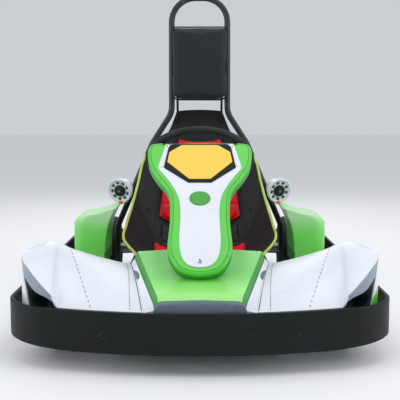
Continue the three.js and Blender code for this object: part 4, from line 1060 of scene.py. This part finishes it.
made = Maker()
wide, tall = fairing["badge"]
badge = [Vector((wide * math.cos(a), fairing["badgeUp"] + tall * math.sin(a))) for a in fullTurn(48)]
made.slab(badge, onFairing, [(0, 0.003), (0, 0.0046), (0.0012, 0.0058), (0.0035, 0.0064)])
made.piece("faceBadge", "chassis", ["limeDark"], slot="lime_plastic", crisp=60)
made = Maker()
made.bolt(onFairing(0, fairing["screwUp"], 0.0033), slopeOut, 0.0068, washer=1.5)
for sign in sides.values():
    made.bolt(onFairing(sign * fairing["clipX"], fairing["clipUp"], 0.0033), slopeOut, 0.0045, washer=1.4)
made.piece("fairingScrews", "chassis", ["chrome"], slot="lamp_chrome")
print("steering and fairing done")

# Nose
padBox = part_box("nose_pad")
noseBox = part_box("nose_panel")
nose = {"front": 0.128, "rear": 0.212, "under": 0.2075, "top": 0.284, "crown": 0.007, "wall": 0.005,
        "side": 0.09, "sideOut": 0.009, "sideDown": 0.024, "lip": 0.012, "lipLong": 0.06,
        "padRound": 0.006, "padCorner": 0.024, "padDepth": 0.048, "padBehind": 0.003, "padSag": 0.004}
noseLow = nose["under"] + nose["wall"]


def nosePoint(u, v):
    # u and v from 0 to 1, across and back; the last bit of each side turns down
    across = 2 * u - 1
    flat = 1 - nose["side"]
    reach = min(abs(across), flat) / flat
    turned = max(abs(across) - flat, 0) / nose["side"]
    width = nose["front"] + (nose["rear"] - nose["front"]) * v - nose["sideOut"]
    lip = 1 - math.cos(min(max((nose["lipLong"] - v) / nose["lipLong"], 0), 1) * math.pi / 2)
    z = noseLow + (nose["top"] - noseLow) * v + nose["crown"] * (1 - reach * reach)
    return Vector((math.copysign(width * reach + nose["sideOut"] * turned, across),
                   noseBox[0].y + (noseBox[1].y - noseBox[0].y) * v,
                   z - nose["sideDown"] * turned ** 1.4 - nose["lip"] * lip))


made = Maker()
# painted shade: the turned-down sides take the darker lime
made.sheet(nosePoint, 66, 40, nose["wall"],
           paintOf=lambda u, v: 1 if abs(2 * u - 1) > 1 - nose["side"] else 0)
made.piece("noseCowl", "chassis", ["limeCowl", "limeDark"], ["nose_panel"], "lime_plastic", crisp=50)


def padReach(x, back):
    # how far forward the nose pad stands at x, back from its face
    arch = belt["frontArch"]
    return halfLength - arch + math.sqrt((arch - belt["thick"] - nose["padBehind"] - back) ** 2 - x ** 2)


made = Maker()
rings = []
padHalf = padBox[1].x
for x in rowOf(-padHalf, padHalf, 41):
    over = max(abs(x) - (padHalf - nose["padCorner"]), 0)
    drop = nose["padCorner"] - math.sqrt(max(nose["padCorner"] ** 2 - over ** 2, 0))
    sag = nose["padSag"] * (x / padHalf) ** 2
    rings.append([Vector((x, -padReach(x, depth), height)) for depth, height in roundBar(
        nose["padDepth"], padBox[0].z, padBox[1].z - drop * 0.9 - sag, nose["padRound"])])
made.loft(rings)
made.piece("nosePad", "chassis", ["slate"], ["nose_pad"], "slate_plastic", crisp=50)

# Front wings: a white shell that rises to the outer corner, over a dark intake
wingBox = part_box("left_front_wing")
wing = {
    "innerFront": 0.160, "tip": wingBox[1].x, "low": 0.175, "step": (0.41, 0.432, 0.212), "high": 0.312,
    "rear": ((0.218, -0.458, 0.243), (0.33, -0.462, 0.272), (0.4, -0.478, 0.303), (0.47, -0.5, 0.334),
             (0.538, -0.53, 0.306)),
    "wall": 0.005, "roll": 0.018, "swell": 0.012, "bevelBack": 0.003, "bevelDown": 0.046,
    "recess": 0.055, "recessFrom": 0.418, "recessTo": 0.494, "recessFoot": 0.13, "fold": 0.45,
    "sideRear": -0.53, "sideLow": 0.125,
}
cornerX = halfWidth - belt["corner"]
archCentre = halfLength - belt["frontArch"]
cornerReach = archCentre + math.sqrt((belt["frontArch"] - belt["corner"]) ** 2 - cornerX ** 2)
cornerMeet = math.atan2(cornerX, cornerReach - archCentre)
wingInset = belt["thick"] + 2 * tubes["bar"] + 0.001


def smooth(share):
    share = min(max(share, 0), 1)
    return share * share * (3 - 2 * share)


def behindBelt(x, inset):
    # how far forward a line inside the belt reaches at this x
    if x < (belt["frontArch"] - inset) * math.sin(cornerMeet):
        return archCentre + math.sqrt((belt["frontArch"] - inset) ** 2 - x ** 2)
    return cornerReach + math.sqrt(max((belt["corner"] - inset) ** 2 - (x - cornerX) ** 2, 0))


def wingEdge(x):
    # the wing's front edge, low behind the belt and stepped up over the intake
    start, end, height = wing["step"]
    rise = smooth((x - start) / (end - start)) * (height - wing["low"])
    rise += max(x - end, 0) / (wing["tip"] - end) * (wing["high"] - height)
    return Vector((x, -behindBelt(x, wingInset), wing["low"] + rise))


def wingPoint(u, v):
    # the wing's skin, u out to the tip and v back from the front edge
    front = wingEdge(wing["innerFront"] + (wing["tip"] - wing["innerFront"]) * u)
    rear = splinePoint(wing["rear"], u)
    bow = 1 - (1 - v) ** 1.7
    roll = wing["roll"] * smooth((v - 0.86) / 0.14) * smooth((u - 0.2) / 0.4)
    swelled = wing["swell"] * math.sin(math.pi * v) * smooth((u - 0.5) / 0.5)
    return Vector((front.x + (rear.x - front.x) * v, front.y + (rear.y - front.y) * v,
                   front.z + (rear.z - front.z) * bow + swelled - roll * 0.4))


def dashes(made, line, radius, dash, paint, lift=0.0006):
    # a stitched or perforated line: short beads along it
    travelled = 0.0
    for a, b in zip(line, line[1:]):
        travelled += (b - a).length
        if int(travelled / dash) % 2 == 0:
            made.tube([a + Vector((0, 0, lift)), b + Vector((0, 0, lift))], radius, 5, paint)


for side, sign in sides.items():
    def flip(point):
        return Vector((sign * point.x, point.y, point.z))

    made = Maker()
    made.sheet(lambda u, v: flip(wingPoint(u if sign > 0 else 1 - u, v)), 96, 40, wing["wall"])
    start, end, height = wing["step"]
    lipXs = rowOf(end - 0.004, wing["tip"] - 0.004, 26)

    def lipPoint(u, v):
        # the bevel under the wing's edge, painted grey as shade on the white plastic
        x = lipXs[0] + (lipXs[-1] - lipXs[0]) * u
        edge = wingEdge(x)
        width = 0.35 + 0.65 * smooth(u * 1.6)
        return flip(Vector((x, edge.y + wing["bevelBack"] * v * width, edge.z - wing["wall"] * 0.4
                            - wing["bevelDown"] * v * width)))

    def recessPoint(u, v):
        # the dark hollow between the bevel and the belt, folded once
        top = lipPoint(u, 1)
        x = wing["recessFrom"] + (wing["recessTo"] - wing["recessFrom"]) * u
        foot = Vector((sign * x, -behindBelt(x, wingInset + 0.002), wing["recessFoot"]))
        crease = wing["fold"]
        fold = 1 - (v - crease) / (1 - crease) if v > crease else v / crease
        deep = wing["recess"] * fold * math.sin(math.pi * min(u * 1.15, 1))
        return top.lerp(foot, v) + Vector((-sign * 0.25, 1, 0)) * deep

    # the bevel takes the grey copy of the white plastic: painted shade
    made.sheet(lipPoint if sign < 0 else (lambda u, v: lipPoint(1 - u, v)), 26, 4, 0.0025, 1)
    made.sheet(recessPoint if sign < 0 else (lambda u, v: recessPoint(1 - u, v)), 26, 20, 0.0025, 2)

    def wallPoint(u, v):
        # the outer side wall, which turns in behind the belt's corner as it drops
        high = wingEdge(wing["tip"]).z + 0.002
        z = high + (wing["sideLow"] - high) * v
        rearZ = wing["rear"][-1][2]
        bottom = 0.066 * v
        span = behindBelt(wing["tip"], wingInset) + wing["sideRear"]
        along = u * (span + bottom)
        if along <= span:
            x, y = wing["tip"], wing["sideRear"] - along
        else:
            x = wing["tip"] - (along - span) * 0.62
            y = -behindBelt(x, wingInset)
        return flip(Vector((x, y, z + (rearZ - high) * (1 - v) * (1 - u))))

    made.sheet(wallPoint if sign > 0 else (lambda u, v: wallPoint(1 - u, v)), 90, 60, 0.004, 0,
               paintOf=(lambda u, v: 3 if v > 0.5 + abs(u - 0.86) * 1.4 else 0) if sign > 0 else None)
    seam = [flip(wingPoint(0.396 + 0.184 * t, t)) for t in rowOf(0.03, 0.98, 90)]
    dashes(made, seam, 0.0007, 0.011, 4)
    arc = [flip(wingPoint(0.10 - 0.055 * math.sin(math.pi * 0.5 * t), t)) for t in rowOf(0.03, 0.98, 120)]
    dashes(made, arc, 0.0009, 0.008, 4)
    made.piece(f"{side}FrontWing", "chassis", ["white", "whiteShade", "moulding", "lime", "border"],
               [f"{side}_front_wing"], "white_plastic", crisp=42)

    # the cowl's white flank stands between the cowl and the wing, with a grey vent in it
    made = Maker()

    def flankPoint(u, v):
        cowl = nosePoint(1.0, v)
        low = wingPoint(0.012, v)
        point = cowl.lerp(Vector((low.x, low.y, low.z - 0.004)), u)
        return flip(point + Vector((0.004 * math.sin(math.pi * u), 0, 0)))

    made.sheet(flankPoint if sign > 0 else (lambda u, v: flankPoint(1 - u, v)), 10, 36, 0.003)
    lifted = Vector((sign * 0.0012, -0.001, 0.0008))
    vent = [flankPoint(0.55 + 0.36 * math.cos(a), 0.66 + 0.10 * math.sin(a)) + lifted
            for a in fullTurn(32)]
    proud = Vector((sign * 0.0016, -0.0012, 0.001))
    made.loft([[p - proud for p in vent], vent, [p + proud for p in vent]], 1)
    length = rowOf(0.02, 0.98, 60)
    made.tube([flankPoint(0.97, v) + Vector((0, 0, 0.002)) for v in length], 0.0022, 6, 2)
    cowlEdge = [nosePoint(0.5 + 0.5 * sign, v) + Vector((0, 0, 0.0005)) for v in length]
    made.tube(cowlEdge, 0.0012, 6, 2)
    made.piece(f"{side}NoseFlank", "chassis", ["white", "slate", "border"], slot="white_plastic", crisp=50)
print("nose and wings done")

# Seat: the bucket's own surface, with u from -1 to 1 across and v from lip to top
seat = {
    "centre": ((0, -0.085, 0.185), (0, 0.02, 0.152), (0, 0.15, 0.142), (0, 0.232, 0.19), (0, 0.288, 0.33),
               (0, 0.33, 0.48), (0, 0.366, 0.62), (0, 0.398, 0.752)),
    "edge": ((0.228, -0.06, 0.195), (0.292, 0.02, 0.253), (0.29, 0.12, 0.3), (0.272, 0.205, 0.372),
             (0.254, 0.268, 0.452), (0.226, 0.326, 0.56), (0.138, 0.366, 0.65), (0.096, 0.396, 0.746)),
    "lift": 2.6, "shell": 0.008, "piping": 0.0052, "pipedTo": 0.8,
    "bolt": 0.0048, "boltAcross": 0.8, "boltsAt": (0.12, 0.24, 0.5, 0.66),
}
pads = {
    "cushion": {"reach": 0.655, "from": 0.055, "to": 0.345, "near": 0.002, "far": 0.0215,
                "pressure": 4.0, "cap": 0.007},
    "back": {"reach": 0.655, "from": 0.505, "to": 0.858, "near": 0.002, "far": 0.0165,
             "pressure": 4.0, "cap": 0.006},
    "lumbar": {"reach": 0.60, "from": 0.36, "to": 0.49, "near": 0.0005, "far": 0.009,
               "pressure": 3.0, "cap": 0.005},
}


def seatPoint(u, v):
    centre = splinePoint(seat["centre"], v)
    edge = splinePoint(seat["edge"], v)
    lift = abs(u) ** seat["lift"]
    return Vector((edge.x * u, centre.y + (edge.y - centre.y) * lift, centre.z + (edge.z - centre.z) * lift))


def seatNormal(u, v):
    nudge = 2e-3
    across = seatPoint(u + nudge, v) - seatPoint(u - nudge, v)
    along = seatPoint(u, min(v + nudge, 1)) - seatPoint(u, max(v - nudge, 0))
    return across.cross(along).normalized()


def overSeat(u, v, above):
    return seatPoint(u, v) + seatNormal(u, v) * above


made = Maker()
made.sheet(lambda u, v: seatPoint(2 * u - 1, v), 72, 80, seat["shell"])
made.piece("seatShell", "chassis", ["seatBlack"], ["seat_shell"], "seat_black", crisp=60)
made = Maker()
rim = ([seatPoint(-1, v) for v in rowOf(seat["pipedTo"], 0, 70)]
       + [seatPoint(u, 0) for u in rowOf(-1, 1, 24)[1:-1]]
       + [seatPoint(1, v) for v in rowOf(0, seat["pipedTo"], 70)])
made.tube(rim, seat["piping"], 12)
for sign in sides.values():
    slantedSeam = [overSeat(sign * (0.985 - 0.3 * t), 0.47 - 0.09 * t, 0.0004) for t in rowOf(0, 1, 30)]
    made.tube(slantedSeam, 0.0016, 8, 1)
    made.tube([overSeat(sign * 0.69, v, 0.0004) for v in rowOf(0.03, 0.92, 80)], 0.0013, 8, 1)
    for v in seat["boltsAt"]:
        hold, out = seatPoint(sign * seat["boltAcross"], v), seatNormal(sign * seat["boltAcross"], v)
        made.bolt(hold + out * 0.0002, out, seat["bolt"], 1, washer=1.9)
        made.bolt(hold - out * (seat["shell"] + 0.0002), -out, seat["bolt"], 2, washer=2.4)
made.piece("seatPiping", "chassis", ["piping", "seatBlack", "steel"], slot="seat_black", crisp=60)


def swell(piece, voxel, pressure, cap):
    # blow the pad up like stuffed cloth, then hold each point near its pattern
    remesh = piece.modifiers.new("pattern", "REMESH")
    remesh.mode = "VOXEL"
    remesh.voxel_size = voxel
    bake(piece)
    rest = [v.co.copy() for v in piece.data.vertices]
    cloth = piece.modifiers.new("stuffing", "CLOTH")
    cloth.settings.use_pressure = True
    cloth.settings.uniform_pressure_force = pressure
    cloth.settings.effector_weights.gravity = 0
    cloth.settings.tension_stiffness = 20
    cloth.settings.bending_stiffness = 2
    scene = bpy.context.scene
    for frameNumber in range(1, 21):
        scene.frame_set(frameNumber)
    bake(piece)
    scene.frame_set(1)
    for vert, start in zip(piece.data.vertices, rest):
        moved = vert.co - start
        if moved.length > cap:
            vert.co = start + moved.normalized() * cap


def bake(piece):
    # fix the modifiers' result in the mesh
    graph = bpy.context.evaluated_depsgraph_get()
    graph.update()
    shaped = bpy.data.meshes.new_from_object(piece.evaluated_get(graph))
    piece.modifiers.clear()
    piece.data = shaped


def finishPad(piece, paint, node):
    # one subdivision, applied, then its finish and what the frame should know
    smoothing = piece.modifiers.new("skin", "SUBSURF")
    smoothing.levels = 1
    smoothing.render_levels = 1
    bake(piece)
    dress(piece, "chassis", [paint], [node] if node else (), crisp=80)


def seatPad(name, size, paint, node, channels):
    made = Maker()
    columns, rows = 30, 40
    layers = []
    for height in (size["near"], size["far"]):
        layers.append([[overSeat(size["reach"] * (2 * i / columns - 1),
                                 size["from"] + (size["to"] - size["from"]) * j / rows, height)
                        for i in range(columns + 1)] for j in range(rows + 1)])
    low, high = ([[made.mesh.verts.new(p) for p in row] for row in layer] for layer in layers)
    for j in range(rows):
        for i in range(columns):
            made.face((high[j][i], high[j][i + 1], high[j + 1][i + 1], high[j + 1][i]), 0)
            made.face((low[j][i], low[j + 1][i], low[j + 1][i + 1], low[j][i + 1]), 0)
    for j in range(rows):
        made.face((low[j][0], high[j][0], high[j + 1][0], low[j + 1][0]), 0)
        made.face((low[j][-1], low[j + 1][-1], high[j + 1][-1], high[j][-1]), 0)
    for i in range(columns):
        made.face((low[0][i], low[0][i + 1], high[0][i + 1], high[0][i]), 0)
        made.face((low[-1][i], high[-1][i], high[-1][i + 1], low[-1][i + 1]), 0)
    piece = made.shaped(name)
    swell(piece, 0.0045, size["pressure"], size["cap"])
    channelDepth, channelHalf = 0.0042, 0.0055
    for share in channels:   # sewn channels pull the cover down in a line across the pad
        v = size["from"] + (size["to"] - size["from"]) * share
        middle = overSeat(0, v, size["far"])
        ahead = (overSeat(0, v + 0.01, size["far"]) - middle).normalized()
        normal = seatNormal(0, v)
        for vert in piece.data.vertices:
            off = (vert.co - middle).dot(ahead)
            if (vert.co - middle).dot(normal) > -0.012:
                vert.co -= normal * channelDepth * math.exp(-(off / channelHalf) ** 2)
    finishPad(piece, paint, node)
    made = Maker()
    for share in channels:
        v = size["from"] + (size["to"] - size["from"]) * share
        reach = size["reach"] * 0.93
        line = [overSeat(u, v, size["far"] + 0.0006) for u in rowOf(-reach, reach, 90)]
        dashes(made, line, 0.0006, 0.005, 0, lift=0.0)
    made.piece(f"{name}Thread", "chassis", ["seatBlack"], slot="seat_black", crisp=80)


seatPad("seatCushion", pads["cushion"], "seatRed", "seat_cushion", (0.34, 0.67))
seatPad("seatBackPad", pads["back"], "seatRed", "seat_back_pad", (0.25, 0.5, 0.75))
seatPad("lumbarPad", pads["lumbar"], "seatBlack", None, (0.5,))
print("seat done")

# Roll hoop and head pad
hoop = {"radius": 0.0125, "footX": 0.35, "footY": 0.34, "footZ": 0.1009, "kneeZ": 0.255, "shoulderX": 0.2,
        "shoulderZ": 0.61, "neckX": 0.117, "neckZ": 0.74, "top": 1.218, "rake": 0.05, "bend": 0.1,
        "stayX": 0.29, "stayY": 0.7, "stayZ": 0.108, "stay": 0.01}


def hoopPoint(x, z):
    # a point on the hoop's raked plane
    return Vector((x, hoop["footY"] + (z - level) * hoop["rake"], z))


leg = [hoopPoint(x, z) for x, z in ((hoop["footX"], hoop["footZ"]), (hoop["footX"], hoop["kneeZ"]),
                                    (hoop["shoulderX"], hoop["shoulderZ"]), (hoop["neckX"], hoop["neckZ"]),
                                    (hoop["neckX"], hoop["top"]))]
made = Maker()
made.tube(bent(leg + mirrorX(reversed(leg)), hoop["bend"], 10), hoop["radius"], 24)
for sign in sides.values():
    start = hoopPoint(sign * hoop["shoulderX"], hoop["shoulderZ"] - 0.02)
    end = Vector((sign * hoop["stayX"], hoop["stayY"], hoop["stayZ"]))
    made.tube([start, end], hoop["stay"], 18)
    made.tube([end, end - Vector((0, 0, hoop["stayZ"] - 0.0945))], 0.016, 20)
    made.bolt(end + Vector((sign * 0.015, 0, -0.006)), (sign, 0, 0), 0.004, washer=1.5)
made.piece("rollHoop", "chassis", ["frame"], ["roll_hoop"], "frame_paint", crisp=50)

padLow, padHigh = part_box("head_pad")
pad = {"wide": padHigh.x - padLow.x, "low": 0.79, "high": 1.09, "deep": 0.06, "corner": 0.034,
       "topCorner": 0.012, "seam": 0.0028, "shrink": 0.005, "postX": 0.092}
rake = math.atan(hoop["rake"])
padRoot = hoopPoint(0, pad["low"])
padBasis = Matrix.Rotation(-rake, 3, "X")


def onPad(x, z, y):
    return padRoot + padBasis @ Vector((x, y - hoop["radius"] - gap, z - pad["low"]))


half = pad["wide"] / 2
corners = [((half, pad["low"]), pad["corner"]), ((half, pad["high"]), pad["topCorner"]),
           ((-half, pad["high"]), pad["topCorner"]), ((-half, pad["low"]), pad["corner"])]
padRing = []
for k, (corner, radius) in enumerate(corners):
    here = Vector(corner)
    before = Vector(corners[k - 1][0])
    after = Vector(corners[(k + 1) % 4][0])
    entry = here + (before - here).normalized() * radius
    leave = here + (after - here).normalized() * radius
    for t in rowOf(0, 1, 7):
        padRing.append(entry * (1 - t) ** 2 + here * 2 * t * (1 - t) + leave * t * t)
shrink = pad["shrink"]   # made smaller, because stuffing swells it
made = Maker()
made.slab(padRing, onPad, [(shrink + 0.003, -pad["deep"] + shrink), (shrink, -pad["deep"] + shrink + 0.003),
                           (shrink, -0.004), (shrink + 0.003, -0.0012)])
headPad = made.shaped("headPad")
swell(headPad, 0.005, 3.0, 0.0048)
finishPad(headPad, "headPad", "head_pad")
made = Maker()
for depth in (-pad["deep"] + 0.010, -0.008):
    made.tube([onPad(p.x, p.y, depth) for p in insetRing(padRing, 0.002)], pad["seam"], 8, closed=True)
for sign in sides.values():   # two short posts under the pad
    made.tube([onPad(sign * pad["postX"], pad["low"] + 0.02, -0.03),
               onPad(sign * pad["postX"], pad["low"] - 0.03, -0.024),
               overSeat(sign * 0.8, 0.93, -0.002)], 0.005, 12, 1)
made.piece("headPadPiping", "chassis", ["seatBlack", "moulding"], slot="seat_black", crisp=80)
print("hoop and head pad done")

# Side pods
pod = {"section": ((0.498, 0.14), (0.5, 0.225), (0.4985, 0.29), (0.489, 0.322), (0.462, 0.336),
                   (0.405, 0.344), (0.372, 0.354), (0.345, 0.363), (0.331, 0.363), (0.341, 0.342),
                   (0.358, 0.305), (0.368, 0.255), (0.371, 0.2), (0.372, 0.14)),
       "crease": 0.19, "round": 0.006, "corner": 0.045, "plainX": 0.40, "panelX": 0.49,
       "panelFrom": 0.064, "panelLow": 0.205, "panelHigh": 0.285, "panelDeep": 0.004, "panelEdge": 0.006,
       "bolts": ((0.4985, 0.163), (0.4975, 0.300)), "boltIn": 0.05}


def podRing(size):
    # the pod's section, moved in by size
    points = [Vector(p) for p in pod["section"]]
    flat = [(p.x, p.y, 0) for p in points]
    ring = [Vector((p.x, p.y)) for p in splineLine(flat, 78)]
    ring += [points[-1].lerp(points[0], t) for t in (0.2, 0.4, 0.6, 0.8)]   # the flat underside
    return insetRing(ring, size)


for side, sign in sides.items():
    low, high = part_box(f"{side}_side_pod")
    made = Maker()
    ease = [(pod["round"] * (1 - math.sin(a)), pod["round"] * (1 - math.cos(a)))
            for a in rowOf(0, math.pi / 2, 6)]
    steps = ([(size, low.y + along) for size, along in ease]
             + [(0, y) for y in rowOf(low.y + 0.009, high.y - 0.009, 60)]
             + [(size, high.y - along) for size, along in ease[::-1]])
    outerX = low.x * sign if sign < 0 else high.x
    rings = []
    for size, y in steps:
        fromEnd = min(y - low.y, high.y - y)
        tuck = pod["corner"] - math.sqrt(max(pod["corner"] ** 2 - max(pod["corner"] - fromEnd, 0) ** 2, 0))
        ring = []
        for p in podRing(size):
            outer = smooth((p.x - pod["plainX"]) / (outerX - pod["plainX"]))
            panel = (smooth((fromEnd - pod["panelFrom"]) / pod["panelEdge"])
                     * smooth((p.y - pod["panelLow"]) / pod["panelEdge"])
                     * smooth((pod["panelHigh"] - p.y) / pod["panelEdge"])
                     * smooth((p.x - pod["panelX"]) / 0.004))
            ring.append(Vector((sign * (p.x - tuck * outer - pod["panelDeep"] * panel), y, p.y)))
        rings.append(ring)
    made.loft(rings)
    # painted shade: below the crease the pod takes the darker lime
    for face in made.mesh.faces:
        if face.calc_center_median().z < pod["crease"]:
            face.material_index = 1
    for y in (low.y + pod["boltIn"], high.y - pod["boltIn"]):
        for x, z in pod["bolts"]:
            made.bolt(Vector((sign * x, y, z)), (sign, 0, 0), 0.005, 3, washer=1.6)
    made.piece(f"{side}SidePod", "chassis", ["limePod", "limeDark", "border", "chrome"], [f"{side}_side_pod"],
               "lime_plastic", crisp=55)

# Lamps on the hoop's legs
lampSize = {"face": (0.332, 0.258, 0.416), "way": (0.33, -0.91, -0.25), "bezel": 0.054, "body": 0.041,
            "long": 0.07, "spots": 9, "spotRing": 0.036, "hub": 0.024, "arm": 0.009, "clampHalf": 0.012}
for side, sign in sides.items():
    face = Vector((sign * lampSize["face"][0], *lampSize["face"][1:]))
    way = Vector((sign * lampSize["way"][0], *lampSize["way"][1:])).normalized()
    r, body, long = lampSize["bezel"], lampSize["body"], lampSize["long"]
    made = Maker()
    made.turned([(-0.008, 0), (-0.008, 0.03), (-0.006, 0.04), (-0.001, r - 0.007), (0, r - 0.0045),
                 (-0.001, r - 0.002), (-0.004, r), (-0.014, r - 0.0015), (-0.018, r - 0.004), (-0.026, body),
                 (-0.036, body), (-0.037, body - 0.0012), (-0.039, body - 0.0012), (-0.04, body),
                 (-long + 0.016, body - 0.002), (-long + 0.006, body - 0.009), (-long + 0.001, body - 0.018),
                 (-long, 0)], face, way, 72, 0)
    across = way.orthogonal().normalized()
    other = way.cross(across)
    for a in fullTurn(lampSize["spots"]):
        spot = face + (across * math.cos(a) + other * math.sin(a)) * lampSize["spotRing"] - way * 0.0078
        made.turned([(0, 0.0078), (0.0012, 0.0074), (0.0022, 0.0056), (0.0026, 0)], spot, way, 18, 1)
    made.turned([(-0.008, lampSize["hub"]), (-0.002, lampSize["hub"]), (0.0, lampSize["hub"] - 0.002),
                 (0.0015, lampSize["hub"] - 0.009), (0.0018, 0)], face, way, 40, 2)
    made.turned([(0.0018, 0.006), (0.003, 0.005), (0.0034, 0)], face, way, 24, 3)
    under = face - Vector((0, 0, 1)) * (r - 0.006) - way * 0.014
    made.block(under - Vector((0.009, 0.006, 0.010)), under + Vector((0.009, 0.006, 0.004)), 0.003, 4,
               segments=3)
    end = face - way * (long - 0.012)
    top = hoopPoint(sign * hoop["footX"], hoop["kneeZ"])
    legWay = hoopPoint(sign * hoop["shoulderX"], hoop["shoulderZ"]) - top
    share = (end - top).dot(legWay) / legWay.length_squared
    hold = top + legWay * share
    towards = (end - hold).normalized()
    made.tube([end, hold + towards * (hoop["radius"] + gap)], lampSize["arm"], 18, 2)
    clampHalf = legWay.normalized() * lampSize["clampHalf"]
    made.tube([hold - clampHalf, hold + clampHalf], hoop["radius"] + 0.0022, 28, 2)
    made.piece(f"{side}Lamp", "chassis", ["lampShell", "spot", "moulding", "slate", "amber"],
               [f"{side}_lamp"], "lamp_chrome", crisp=40)
print("pods and lamps done")

# Floor and studio light
floor = Maker()
floorRadius = 30
ring = [Vector((floorRadius * math.cos(a), floorRadius * math.sin(a), 0)) for a in fullTurn(96)]
floor.cap(floor.ring(ring))
floorData = bpy.data.meshes.new("studioFloor")
floor.mesh.to_mesh(floorData)
studioFloor = linked("studioFloor", floorData)
paper = Finish("palePaper")
paper.set(Base_Color=(0.9, 0.903, 0.906, 1), Roughness=0.95, Specular_IOR_Level=0.1)
floorData.materials.append(paper.material)

studio = bpy.data.worlds.new("studio")
studio.use_nodes = True
bpy.context.scene.world = studio
nodes, links = studio.node_tree.nodes, studio.node_tree.links
glow = nodes["Background"]
glow.inputs["Color"].default_value = (0.93, 0.95, 1.0, 1)
glow.inputs["Strength"].default_value = 0.66
backdrop = nodes.new("ShaderNodeBackground")
backdrop.inputs["Color"].default_value = (0.6, 0.615, 0.65, 1)
ray = nodes.new("ShaderNodeLightPath")
seen = nodes.new("ShaderNodeMixShader")
anyView = ray.outputs["Is Camera Ray"]
for kind in ("Is Glossy Ray", "Is Transmission Ray"):
    either = nodes.new("ShaderNodeMath")
    either.operation = "MAXIMUM"
    links.new(anyView, either.inputs[0])
    links.new(ray.outputs[kind], either.inputs[1])
    anyView = either.outputs[0]
links.new(anyView, seen.inputs[0])
links.new(glow.outputs[0], seen.inputs[1])
links.new(backdrop.outputs[0], seen.inputs[2])
links.new(seen.outputs[0], nodes["World Output"].inputs["Surface"])


def softbox(name, place, aim, size, watts):
    light = bpy.data.lights.new(name, "AREA")
    light.shape = "RECTANGLE"
    light.size, light.size_y = size
    light.energy = watts
    made = linked(name, light)
    made.location = place
    made.rotation_euler = (Vector(aim) - Vector(place)).to_track_quat("-Z", "Y").to_euler()


softbox("overhead", (0.3, -0.6, 3.6), (0, 0, 0.3), (3.4, 2.6), 43)
softbox("leftStrip", (3.0, -1.4, 1.5), (0, -0.1, 0.3), (0.8, 2.2), 24)
softbox("rightStrip", (-3.0, -1.4, 1.5), (0, -0.1, 0.3), (0.8, 2.2), 24)
softbox("rearFill", (0, 3.2, 2.4), (0, 0.2, 0.4), (2.6, 1.6), 21)
bpy.context.scene.view_settings.view_transform = "Standard"

print("scene done")
